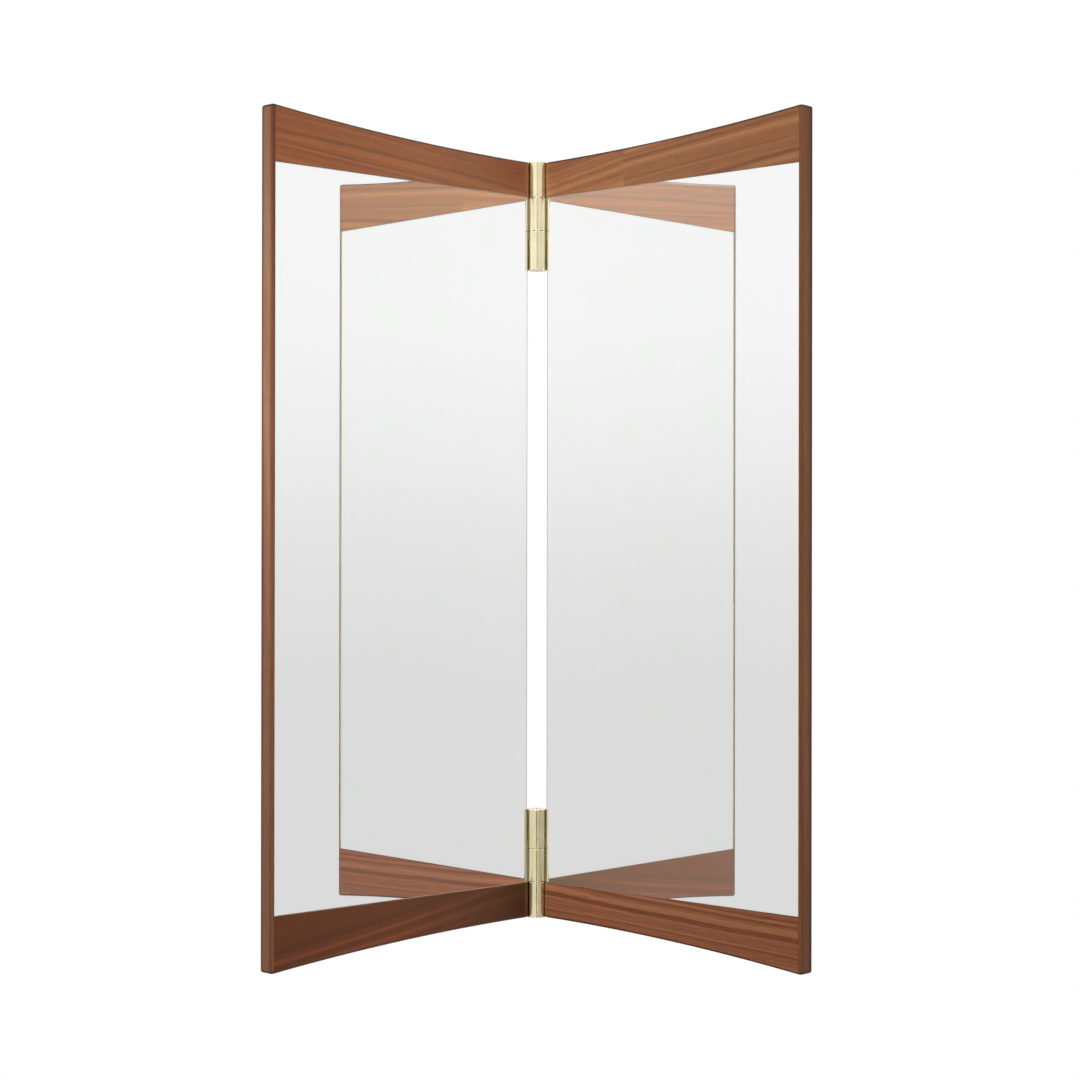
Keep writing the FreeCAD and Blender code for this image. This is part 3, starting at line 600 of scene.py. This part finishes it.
# Silvered glass: one clean reflecting sheet, wiped a little unevenly, and darker with painted shade in a
# thin band along its inner edge by the hinge.
silver, tree = new_material("silvered_float_glass")
on_pane = add(tree, "TexCoord").outputs["Object"]
smears = add(tree, "TexNoise", {"Vector": on_pane, "Scale": 1 / SMEAR, "Detail": 4.0}).outputs[0]
tint = add(tree, "ValToRGB", {"Fac": smears}, stops=((0.3, "#fdfefd"), (0.7, "#fefefe"))).outputs[0]
from_hinge = add(tree, "VectorMath", {0: on_pane, 1: hinge}, operation="SUBTRACT").outputs[0]
level_out = add(tree, "VectorMath", {0: from_hinge, 1: (1, 1, 0)}, operation="MULTIPLY").outputs[0]
reach = add(tree, "VectorMath", {0: level_out}, operation="LENGTH").outputs[1]
# Painted shade: the reflection is darker in a thin band along the inner edge by the hinge.
edge_band = {"From Min": pane_low.x + EDGE_SHADE_BAND[0], "From Max": pane_low.x + EDGE_SHADE_BAND[1], "To Min": EDGE_PAINTED_SHADE}
edge_shaded = add(tree, "MapRange", {"Value": reach, **edge_band}).outputs[0]
mirror = add(tree, "VectorMath", {0: tint, "Scale": edge_shaded}, operation="SCALE").outputs[0]
rough = add(tree, "MapRange", {"Value": smears, "To Min": 0.004, "To Max": 0.02}).outputs[0]
shader = add(tree, "BsdfPrincipled", {"Base Color": mirror, "Metallic": 0.98, "Roughness": rough})
add(tree, "OutputMaterial", {"Surface": shader.outputs[0]})

# Polished edge: clear green-grey glass, faintly uneven from the grinding wheel.
glass_edge, tree = new_material("polished_glass_edge")
on_edge = add(tree, "TexCoord").outputs["Object"]
grind = add(tree, "TexNoise", {"Vector": on_edge, "Scale": 1 / GRIND, "Detail": 3.0}).outputs[0]
tint = add(tree, "ValToRGB", {"Fac": grind}, stops=((0.35, "#c3cec9"), (0.65, "#d5ddd9"))).outputs[0]
rough = add(tree, "MapRange", {"Value": grind, "To Min": 0.06, "To Max": 0.18}).outputs[0]
look = {"Base Color": tint, "Roughness": rough, "IOR": 1.52, "Coat Weight": 0.3}
shader = add(tree, "BsdfPrincipled", look)
add(tree, "OutputMaterial", {"Surface": shader.outputs[0]})

# Backing paint: flat grey, lightly mottled by the roller.
backing_paint, tree = new_material("grey_mirror_backing_paint")
on_back = add(tree, "TexCoord").outputs["Object"]
mottle = add(tree, "TexNoise", {"Vector": on_back, "Scale": 1 / ROLLER_MOTTLE, "Detail": 3.0}).outputs[0]
tint = add(tree, "ValToRGB", {"Fac": mottle}, stops=((0.35, "#6f7374"), (0.65, "#7d8182"))).outputs[0]
shader = add(tree, "BsdfPrincipled", {"Base Color": tint, "Roughness": 0.55})
add(tree, "OutputMaterial", {"Surface": shader.outputs[0]})

fitted = Vector((0, 0, GLASS_FIT))
pane = block(pane_low - fitted, pane_high + fitted)
round_edges(pane, GLASS_ARRIS, lambda a, b: max(a.y, b.y) < pane_low.y + SAME, steps=1)
round_edges(pane, GLASS_ARRIS, lambda a, b: min(a.y, b.y) > pane_high.y - SAME, steps=1)
for polygon in pane.data.polygons:
    if polygon.normal.y < -SQUARE_ON:
        polygon.material_index = 0
    elif polygon.normal.y > SQUARE_ON:
        polygon.material_index = 2
    else:
        polygon.material_index = 1
for side in PANELS:
    node = side + "_mirror_glass"
    put(pane, PANELS[side], side + "_panel", node, "mirror", silver, glass_edge, backing_paint)
bpy.data.objects.remove(pane)

# Hinge leaves: solid brass knuckles turned from bar, each with a lug to a flat leaf let into the panel's
# inner edge. Left knuckles are the outer ones of each barrel, right knuckles come next.
BARREL_SIDES = 96
DRILL_SIDES = 36
RIM_ROUND = 0.25 * MM
PIN_BORE = 4.05 * MM
PLUG_SEAT = 6.55 * MM
PLUG_DEPTH = 4.05 * MM
LUG_THICK = 4.0 * MM
LUG_INSET = 1.0 * MM
LUG_BITE = 0.5 * MM
WASHER_ROOM = 0.6 * MM
SCREW_HOLE = 1.6 * MM
SCREW_SINK = 3.1 * MM
SCREW_INSET = 9.0 * MM
SCREW_EDGE = 3.7 * MM
LEAF_SCREWS = 4
SINK_PAST = 1.0 * MM
TURNING = 0.7 * MM
TURNING_STRETCH = (0.06, 0.06, 1)
PATINA = 18.0 * MM
# Painted shade: faces of a barrel that turn left or right are darker.
SIDE_PAINTED_SHADE = ((0.74, "#ffffff"), (0.94, "#a49e8d"))
NEARLY_UP = (0.02, 0.03, 1)
barrel_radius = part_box("top_wall_knuckle")[1].x


def brass(name, tones):
    """Turned satin brass: pale gold, its highlights drawn out along the barrel by fine turning rings.

    The sides of a barrel, which face left and right, are darker with painted shade.
    """
    material, tree = new_material(name)
    coordinates = add(tree, "TexCoord")
    on_bar = coordinates.outputs["Object"]
    normal = coordinates.outputs["Normal"]
    cuts = add(tree, "VectorMath", {0: on_bar, 1: TURNING_STRETCH}, operation="MULTIPLY")
    rings = {"Vector": cuts.outputs[0], "Scale": 1 / TURNING, "Detail": 3.0}
    turning = add(tree, "TexNoise", rings).outputs[0]
    patina = add(tree, "TexNoise", {"Vector": on_bar, "Scale": 1 / PATINA, "Detail": 3.0}).outputs[0]
    colour = add(tree, "ValToRGB", {"Fac": patina}, stops=((0.3, tones[0]), (0.7, tones[1]))).outputs[0]
    facing = add(tree, "SeparateXYZ", {0: normal})
    sideways = add(tree, "Math", {0: facing.outputs[0]}, operation="ABSOLUTE")
    side_shade = add(tree, "ValToRGB", {"Fac": sideways.outputs[0]}, stops=SIDE_PAINTED_SHADE).outputs[0]
    side_shaded = add(tree, "Mix", {0: 1.0, 6: colour, 7: side_shade}, **MULTIPLIED).outputs[2]
    rough = add(tree, "MapRange", {"Value": turning, "To Min": 0.12, "To Max": 0.17}).outputs[0]
    bump = add(tree, "Bump", {"Strength": 0.06, "Distance": 0.03 * MM, "Height": turning})
    around = add(tree, "VectorMath", {0: NEARLY_UP, 1: normal}, operation="CROSS_PRODUCT")
    along = add(tree, "VectorMath", {0: normal, 1: around.outputs[0]}, operation="CROSS_PRODUCT")
    shader = add(
        tree,
        "BsdfPrincipled",
        {
            "Base Color": side_shaded,
            "Metallic": 1.0,
            "Roughness": rough,
            "Anisotropic": 0.45,
            "Tangent": along.outputs[0],
            "Normal": bump.outputs[0],
        },
    )
    add(tree, "OutputMaterial", {"Surface": shader.outputs[0]})
    return material


def round_bar(radius, start, end, sides=BARREL_SIDES):
    """A round bar between two points on its axis."""
    bpy.ops.object.select_all(action="DESELECT")
    line = Vector(end) - Vector(start)
    bpy.ops.mesh.primitive_cylinder_add(
        vertices=sides,
        radius=radius,
        depth=line.length,
        location=(Vector(start) + Vector(end)) / 2,
        rotation=line.to_track_quat("Z", "Y").to_euler(),
    )
    bpy.ops.object.transform_apply(location=True, rotation=True, scale=True)
    return bpy.context.active_object


def sink_hole(piece, hole, head, face, end):
    """Drills a hole from a face to beyond a piece's far side and countersinks it there at 45 degrees."""
    inward = (Vector(end) - Vector(face)).normalized()
    neck = Vector(face) + inward * (head - hole)
    drill = round_bar(hole, end, neck, DRILL_SIDES)
    pick(drill, "FACE", lambda p: (p - neck).length < SAME)
    rise = -inward * (head - hole + SINK_PAST)
    bpy.ops.mesh.extrude_region_move(TRANSFORM_OT_translate={"value": rise})
    bpy.ops.transform.resize(value=((head + SINK_PAST) / hole,) * 3)
    bpy.ops.object.mode_set(mode="OBJECT")
    carve(piece, drill)


def make_knuckle(low, high):
    """A turned knuckle on the hinge axis with rounded rims."""
    knuckle = round_bar(barrel_radius, (0, 0, low), (0, 0, high))
    round_edges(knuckle, RIM_ROUND, lambda a, b: max(a.z, b.z) < low + SAME, steps=3)
    round_edges(knuckle, RIM_ROUND, lambda a, b: min(a.z, b.z) > high - SAME, steps=3)
    return knuckle


def bore_knuckle(knuckle, low, high, plug_end=None):
    """Bores a knuckle for its pin and, at a barrel's end, for its plug."""
    carve(knuckle, round_bar(PIN_BORE, (0, 0, low - OVERCUT), (0, 0, high + OVERCUT), DRILL_SIDES))
    if plug_end is not None:
        to_middle = (low + high) / 2 - plug_end
        deep = plug_end + math.copysign(PLUG_DEPTH, to_middle)
        past = plug_end - math.copysign(OVERCUT, to_middle)
        carve(knuckle, round_bar(PLUG_SEAT, (0, 0, past), (0, 0, deep)))


hinge_brass = brass("satin_turned_brass", ("#ded3ac", "#e8ddba"))
lug_front = barrel_radius / 2
leaf_low, leaf_high = seat("right_top_hinge_leaf")
leaf_front = board_low.y + LEAF_INSET
lug_back = leaf_front + LUG_THICK


def make_leaf(level, heights, plug_end):
    """A knuckle with its lug and leaf, in the panel's own frame."""
    low, high = heights
    knuckle = make_knuckle(low, high)
    lug_near = (0, lug_front, low + LUG_INSET)
    carve(knuckle, block(lug_near, (rail_low.x + LUG_BITE, lug_back, high - LUG_INSET)), "UNION")
    leaf_bottom, leaf_top = between(level, leaf_low.z, leaf_high.z)
    plate = block((rail_low.x, leaf_front, leaf_bottom), (leaf_high.x, leaf_high.y, leaf_top))
    carve(knuckle, plate, "UNION")
    bore_knuckle(knuckle, low, high, plug_end)
    screw_depth = leaf_high.y - SCREW_EDGE
    first = leaf_bottom + SCREW_INSET
    pitch = (leaf_top - leaf_bottom - 2 * SCREW_INSET) / (LEAF_SCREWS - 1)
    through = (rail_low.x, leaf_high.x + OVERCUT)
    for index in range(LEAF_SCREWS):
        height = first + index * pitch
        sink_hole(knuckle, SCREW_HOLE, SCREW_SINK, *((x, screw_depth, height) for x in through))
    smooth(knuckle)
    return knuckle


wall_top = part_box("top_wall_knuckle")[1].z
for level in (1, -1):
    outer = between(level, sight, arch_foot)
    left_leaf = make_leaf(level, outer, outer[1] if level > 0 else outer[0])
    name = "left_bottom" if level > 0 else "left_top"
    put(left_leaf, PANELS["left"], "left_panel", name + "_hinge_leaf", "brass", hinge_brass)
    bpy.data.objects.remove(left_leaf)
    inner = between(level, wall_top + WASHER_ROOM, sight - WASHER_ROOM)
    right_leaf = make_leaf(level, inner, None)
    name = "right_top" if level > 0 else "right_bottom"
    put(right_leaf, PANELS["right"], "right_panel", name + "_hinge_leaf", "brass", hinge_brass)
    bpy.data.objects.remove(right_leaf)

# Leaf screws, bracket bolts and hinge pins: zinc-plated steel, the screws with slotted countersunk heads
# flush in the brass. Only heads ever show, so the modelled steel stays and gets a bright mottled plating.
PLATING = 1.2 * MM
STEEL_NODES = (
    "left_leaf_screws",
    "right_leaf_screws",
    "wall_plate_bolts",
    "top_hinge_pin",
    "bottom_hinge_pin",
)
zinc, tree = new_material("zinc_plated_steel")
on_steel = add(tree, "TexCoord").outputs["Object"]
plating = add(tree, "TexNoise", {"Vector": on_steel, "Scale": 1 / PLATING, "Detail": 4.0}).outputs[0]
tint = add(tree, "ValToRGB", {"Fac": plating}, stops=((0.3, "#b9bab6"), (0.7, "#d2d2cc"))).outputs[0]
rough = add(tree, "MapRange", {"Value": plating, "To Min": 0.24, "To Max": 0.42}).outputs[0]
bump = add(tree, "Bump", {"Strength": 0.15, "Distance": 0.05 * MM, "Height": plating})
look = {"Base Color": tint, "Metallic": 1.0, "Roughness": rough, "Normal": bump.outputs[0]}
shader = add(tree, "BsdfPrincipled", look)
add(tree, "OutputMaterial", {"Surface": shader.outputs[0]})
for node in STEEL_NODES:
    dress(node, zinc)

# Wall knuckles: the two brass knuckles that stay still, each with a square arm back to its wall plate,
# to which two bolts draw it from behind. The panels turn on the pins that pass through them.
ARM_WIDTH = 12.0 * MM
ARM_HEIGHT = 24.0 * MM
BOLT_HOLE = 2.1 * MM
BOLT_REACH = 6.5 * MM
BOLT_DEPTH = 11.0 * MM
axis_place = Matrix.Translation(hinge)
for name, level in (("top", 1), ("bottom", -1)):
    node = name + "_wall_knuckle"
    low_corner, high_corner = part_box(node)
    middle = (low_corner.z + high_corner.z) / 2
    knuckle = make_knuckle(low_corner.z, high_corner.z)
    arm_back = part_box(name + "_wall_plate")[0].y - hinge.y
    arm_near = (-ARM_WIDTH / 2, 0, middle - ARM_HEIGHT / 2)
    arm_far = (ARM_WIDTH / 2, arm_back, middle + ARM_HEIGHT / 2)
    carve(knuckle, block(arm_near, arm_far), "UNION")
    for bolt in (middle - BOLT_REACH, middle + BOLT_REACH):
        ends = ((0, arm_back - BOLT_DEPTH, bolt), (0, arm_back + OVERCUT, bolt))
        carve(knuckle, round_bar(BOLT_HOLE, *ends, DRILL_SIDES))
    bore_knuckle(knuckle, low_corner.z, high_corner.z, low_corner.z if level > 0 else high_corner.z)
    smooth(knuckle)
    put(knuckle, axis_place, "wall_mount", node, "brass", hinge_brass)
    bpy.data.objects.remove(knuckle)

# Wall plates: brass bar with rounded corners and a bevelled face, screwed to the wall through two
# countersunk holes. The bolts of the arm come through from behind.
PLATE_CORNER = 6.0 * MM
PLATE_BEVEL = 0.8 * MM
WALL_HOLE = 2.6 * MM
WALL_SINK = 5.0 * MM
HOLE_REACH = 29.0 * MM
BOLT_SINK = 3.9 * MM
for name in ("top", "bottom"):
    node = name + "_wall_plate"
    low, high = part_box(node)
    plate = block(low, high)
    middle = (low.z + high.z) / 2
    round_edges(plate, PLATE_CORNER, lambda a, b: abs(a.y - b.y) > SAME, steps=8)
    round_edges(plate, PLATE_BEVEL, lambda a, b: max(a.y, b.y) < low.y + SAME, steps=1)
    from_front = (low.y, OVERCUT)
    from_behind = (0, low.y - OVERCUT)
    for sign in (-1, 1):
        sink_hole(plate, WALL_HOLE, WALL_SINK, *((sign * HOLE_REACH, y, middle) for y in from_front))
        sink_hole(plate, BOLT_HOLE, BOLT_SINK, *((0, y, middle + sign * BOLT_REACH) for y in from_behind))
    smooth(plate)
    put(plate, Matrix.Identity(4), "wall_mount", node, "brass", hinge_brass)
    bpy.data.objects.remove(plate)

# Barrel plugs: slotted brass discs, flush in the ends of the barrels, that keep the pins in.
# They are small plain turnings, so the modelled discs stay and take the barrels' brass.
for node in ("left_barrel_plugs", "wall_barrel_plugs"):
    dress(node, hinge_brass)

# Thrust washers: thin bronze rings on the pins between the knuckles, seen as fine darker lines.
# The modelled rings stay and get a duller, browner metal than the brass.
dress("thrust_washers", brass("dull_rolled_bronze", ("#4f4228", "#625334")))

# Wall bumpers: moulded rubber buttons with a soft rim, stuck behind each outer stile near its ends, that
# meet the wall when a panel is folded flat. The rubber is matt black with a fine moulded grain.
BUMPER_ROUND = 1.5 * MM
RUBBER_GRAIN = 0.9 * MM
rubber, tree = new_material("black_moulded_rubber")
on_button = add(tree, "TexCoord").outputs["Object"]
grain = add(tree, "TexNoise", {"Vector": on_button, "Scale": 1 / RUBBER_GRAIN, "Detail": 3.0}).outputs[0]
tint = add(tree, "ValToRGB", {"Fac": grain}, stops=((0.3, "#1d1d1d"), (0.7, "#2b2b2a"))).outputs[0]
bump = add(tree, "Bump", {"Strength": 0.3, "Distance": 0.05 * MM, "Height": grain})
look = {"Base Color": tint, "Roughness": 0.75, "Normal": bump.outputs[0]}
shader = add(tree, "BsdfPrincipled", look)
add(tree, "OutputMaterial", {"Surface": shader.outputs[0]})
bumper_low, bumper_high = seat("right_wall_bumpers")
bumper_radius = (bumper_high.x - bumper_low.x) / 2
bumper_reach = (bumper_high.x + bumper_low.x) / 2
buttons = []
for level in (1, -1):
    height = level * (bumper_high.z - bumper_radius)
    ends = ((bumper_reach, y, height) for y in (bumper_low.y, bumper_high.y))
    button = round_bar(bumper_radius, *ends)
    round_edges(button, BUMPER_ROUND, lambda a, b: min(a.y, b.y) > bumper_high.y - SAME, steps=4)
    smooth(button)
    buttons.append(button)
select(buttons[0])
buttons[1].select_set(True)
bpy.ops.object.join()
for side in PANELS:
    put(buttons[0], PANELS[side], side + "_panel", side + "_wall_bumpers", "bumper_rubber", rubber)
bpy.data.objects.remove(buttons[0])

# Floor: a plain pale floor at the height that a wall mirror hangs above it, out of the main view.
# To the camera and in the mirrors it is nearly as white as the room, with a faint soft shadow.
FLOOR_DROP = 1.5
FLOOR_SIZE = 4.4
FLOOR_MOTTLE = 0.5
FLOOR_WHITE = 0.88
bpy.ops.object.select_all(action="DESELECT")
bpy.ops.mesh.primitive_plane_add(size=FLOOR_SIZE, location=(0, 0, -FLOOR_DROP))
floor = bpy.context.active_object
floor.name = "floor"
pale, tree = new_material("pale_studio_floor")
on_floor = add(tree, "TexCoord").outputs["Object"]
mottle = add(tree, "TexNoise", {"Vector": on_floor, "Scale": 1 / FLOOR_MOTTLE, "Detail": 3.0}).outputs[0]
tint = add(tree, "ValToRGB", {"Fac": mottle}, stops=((0.3, "#ececea"), (0.7, "#f2f2f0"))).outputs[0]
lit = add(tree, "BsdfPrincipled", {"Base Color": tint, "Roughness": 0.8})
white = add(tree, "Emission", {"Color": (1, 1, 1, 1), "Strength": 1.0})
ray = add(tree, "LightPath")
by_mirror = {0: ray.outputs["Is Glossy Ray"], 1: ray.outputs["Is Transmission Ray"]}
mirrored = add(tree, "Math", by_mirror, operation="MAXIMUM").outputs[0]
looked_at = add(tree, "Math", {0: ray.outputs["Is Camera Ray"], 1: mirrored}, operation="MAXIMUM")
whitened = add(tree, "Math", {0: looked_at.outputs[0], 1: FLOOR_WHITE}, operation="MULTIPLY")
paled = add(tree, "MixShader", {0: whitened.outputs[0], 1: lit.outputs[0], 2: white.outputs[0]})
add(tree, "OutputMaterial", {"Surface": paled.outputs[0]})
floor.data.materials.append(pale)

# Studio lamps: a large soft lamp high in front, a weaker one on the left and one behind.
# The left one is kept out of reflections, where the room's bright left wall already stands for it.
LAMPS = {
    "key_lamp": ((-0.35, -2.2, 1.7), (2.0, 0.9), 48.0),
    "side_lamp": ((-1.5, -1.5, 0.8), (1.5, 1.2), 4.6),
    "back_lamp": ((0.5, 2.2, 1.8), (2.0, 1.0), 30.0),
}
for name, (place, (width, height), power) in LAMPS.items():
    lamp = bpy.data.lights.new(name, "AREA")
    lamp.shape = "RECTANGLE"
    lamp.size = width
    lamp.size_y = height
    lamp.energy = power
    lamp_object = bpy.data.objects.new(name, lamp)
    lamp_object.location = place
    lamp_object.rotation_euler = (-Vector(place)).to_track_quat("-Z", "Y").to_euler()
    lamp_object.visible_glossy = name != "side_lamp"
    bpy.context.scene.collection.objects.link(lamp_object)

# Studio room: plain white to the camera and soft grey as light. Mirrors and metal see grey walls that are
# lighter upwards and to the left and a little warm low down, the dark line of the camera in front, and
# bright panels above and below the picture, which give the oiled wood its sheen.
AMBIENT = 0.28
STEEPEST = 0.6
ROOM_LEVELS = (
    (-0.36, "#bcbcbc"),
    (-0.25, "#dcdcdc"),
    (-0.058, "#dcdcdc"),
    (-0.023, "#e1e1e1"),
    (0.002, "#e5e5e5"),
    (0.028, "#ebebeb"),
    (0.062, "#f1f1f1"),
    (0.096, "#f6f6f6"),
    (0.124, "#f7f7f7"),
    (0.24, "#f7f7f7"),
    (0.36, "#b4b4b4"),
)
WALL_BEARINGS = (-68, -60, -14, -10.2, 10.2, 14, 60, 68)
LOWER_WALLS = (1.0, 1.25, 1.25, 1.0, 1.0, 0.75, 0.75, 1.0)
UPPER_WALLS = (1.0, 1.3, 1.3, 1.0, 1.0, 1.08, 1.08, 1.0)
LOWER_WARMTH = (1.0, 0.98, 0.92)
UPPER_WARMTH = (1.0, 1.0, 1.0)
BRIGHTEST = 1.3
WALL_BLEND = {"From Min": -0.08, "From Max": 0.08}
WALL_FADE = {"From Min": 0.2, "From Max": 0.3}
LINE_SIDES = {"From Min": math.radians(4.3), "From Max": math.radians(4.7), "To Max": BRIGHTEST}
LINE_TONES = {"From Min": -0.05, "From Max": 0.05, "To Min": 0.05, "To Max": 0.9}
PANEL_SIDES = {"From Min": math.radians(20), "From Max": math.radians(30), "To Min": 1.0, "To Max": 0.0}
BRIGHT_PANELS = ((0.34, 0.42, 5.0), (-0.28, -0.36, 10.0))
world = bpy.data.worlds.new("studio")
bpy.context.scene.world = world
world.use_nodes = True
tree = world.node_tree
tree.nodes.clear()
direction = add(tree, "SeparateXYZ", {0: add(tree, "TexCoord").outputs["Generated"]})
upwards = direction.outputs[2]
climb = add(tree, "MapRange", {"Value": upwards, "From Min": -STEEPEST, "From Max": STEEPEST}).outputs[0]
stops = [((rise / STEEPEST + 1) / 2, code) for rise, code in ROOM_LEVELS]
room = add(tree, "ValToRGB", {"Fac": climb}, stops=stops).outputs[0]
ahead = add(tree, "Math", {0: direction.outputs[1], 1: -1.0}, operation="MULTIPLY")
heading = {0: direction.outputs[0], 1: ahead.outputs[0]}
bearing = add(tree, "Math", heading, operation="ARCTAN2").outputs[0]
compass = add(tree, "MapRange", {"Value": bearing, "From Min": -math.pi, "From Max": math.pi}).outputs[0]
walls = []
for levels, warmth in ((LOWER_WALLS, LOWER_WARMTH), (UPPER_WALLS, UPPER_WARMTH)):
    stops = []
    for degrees, level in zip(WALL_BEARINGS, levels):
        tone = (1.0, 1.0, 1.0) if level == 1.0 else warmth
        stops.append((0.5 + degrees / 360, (*[part * level / BRIGHTEST for part in tone], 1)))
    walls.append(add(tree, "ValToRGB", {"Fac": compass}, stops=stops).outputs[0])
upper = add(tree, "MapRange", {"Value": upwards, **WALL_BLEND}).outputs[0]
walls_around = add(tree, "Mix", {0: upper, 6: walls[0], 7: walls[1]}, **MIXED).outputs[2]
off_level = add(tree, "Math", {0: upwards}, operation="ABSOLUTE").outputs[0]
faded = add(tree, "MapRange", {"Value": off_level, **WALL_FADE}).outputs[0]
plain = (*[1 / BRIGHTEST] * 3, 1)
walls_around = add(tree, "Mix", {0: faded, 6: walls_around, 7: plain}, **MIXED).outputs[2]
off_middle = add(tree, "Math", {0: bearing}, operation="ABSOLUTE").outputs[0]
line_tone = add(tree, "MapRange", {"Value": upwards, **LINE_TONES}).outputs[0]
dark_line = add(tree, "MapRange", {"Value": off_middle, "To Min": line_tone, **LINE_SIDES}).outputs[0]
shaded = add(tree, "VectorMath", {0: walls_around, "Scale": dark_line}, operation="SCALE").outputs[0]
room = add(tree, "Mix", {0: 1.0, 6: room, 7: shaded}, **MULTIPLIED).outputs[2]
in_front = add(tree, "MapRange", {"Value": off_middle, **PANEL_SIDES}).outputs[0]
for start, end, level in BRIGHT_PANELS:
    beyond = add(tree, "MapRange", {"Value": upwards, "From Min": start, "From Max": end}).outputs[0]
    share = add(tree, "Math", {0: beyond, 1: in_front}, operation="MULTIPLY").outputs[0]
    room = add(tree, "Mix", {0: share, 6: room, 7: (level, level, level, 1)}, **MIXED).outputs[2]
room_ray = add(tree, "LightPath")
by_mirror = {0: room_ray.outputs["Is Glossy Ray"], 1: room_ray.outputs["Is Transmission Ray"]}
mirrored = add(tree, "Math", by_mirror, operation="MAXIMUM").outputs[0]
ambient = (AMBIENT, AMBIENT, AMBIENT, 1)
bounced = add(tree, "Mix", {0: mirrored, 6: ambient, 7: room}, **MIXED).outputs[2]
seen = {0: room_ray.outputs["Is Camera Ray"], 6: bounced, 7: (1, 1, 1, 1)}
backdrop = add(tree, "Mix", seen, **MIXED).outputs[2]
light = add(tree, "Background", {"Color": backdrop, "Strength": 1.0})
add(tree, "OutputWorld", {"Surface": light.outputs[0]})

# Camera: straight on at hinge height, far enough back that both panels show their true angle.
# Its place and lens were fitted to the edges of the frame and the mirrors in the photograph.
SENSOR = 36.0
LENS = 77.917
CAMERA_PLACE = (3.26 * MM, -2587.0 * MM, -6.41 * MM)
CAMERA_TURN = (math.radians(90.134), math.radians(-0.079), 0)
camera_data = bpy.data.cameras.new("camera")
camera_data.sensor_width = SENSOR
camera_data.lens = LENS
camera = bpy.data.objects.new("camera", camera_data)
camera.location = CAMERA_PLACE
camera.rotation_euler = CAMERA_TURN
bpy.context.scene.collection.objects.link(camera)
bpy.context.scene.camera = camera
bpy.context.scene.view_settings.view_transform = "Standard"
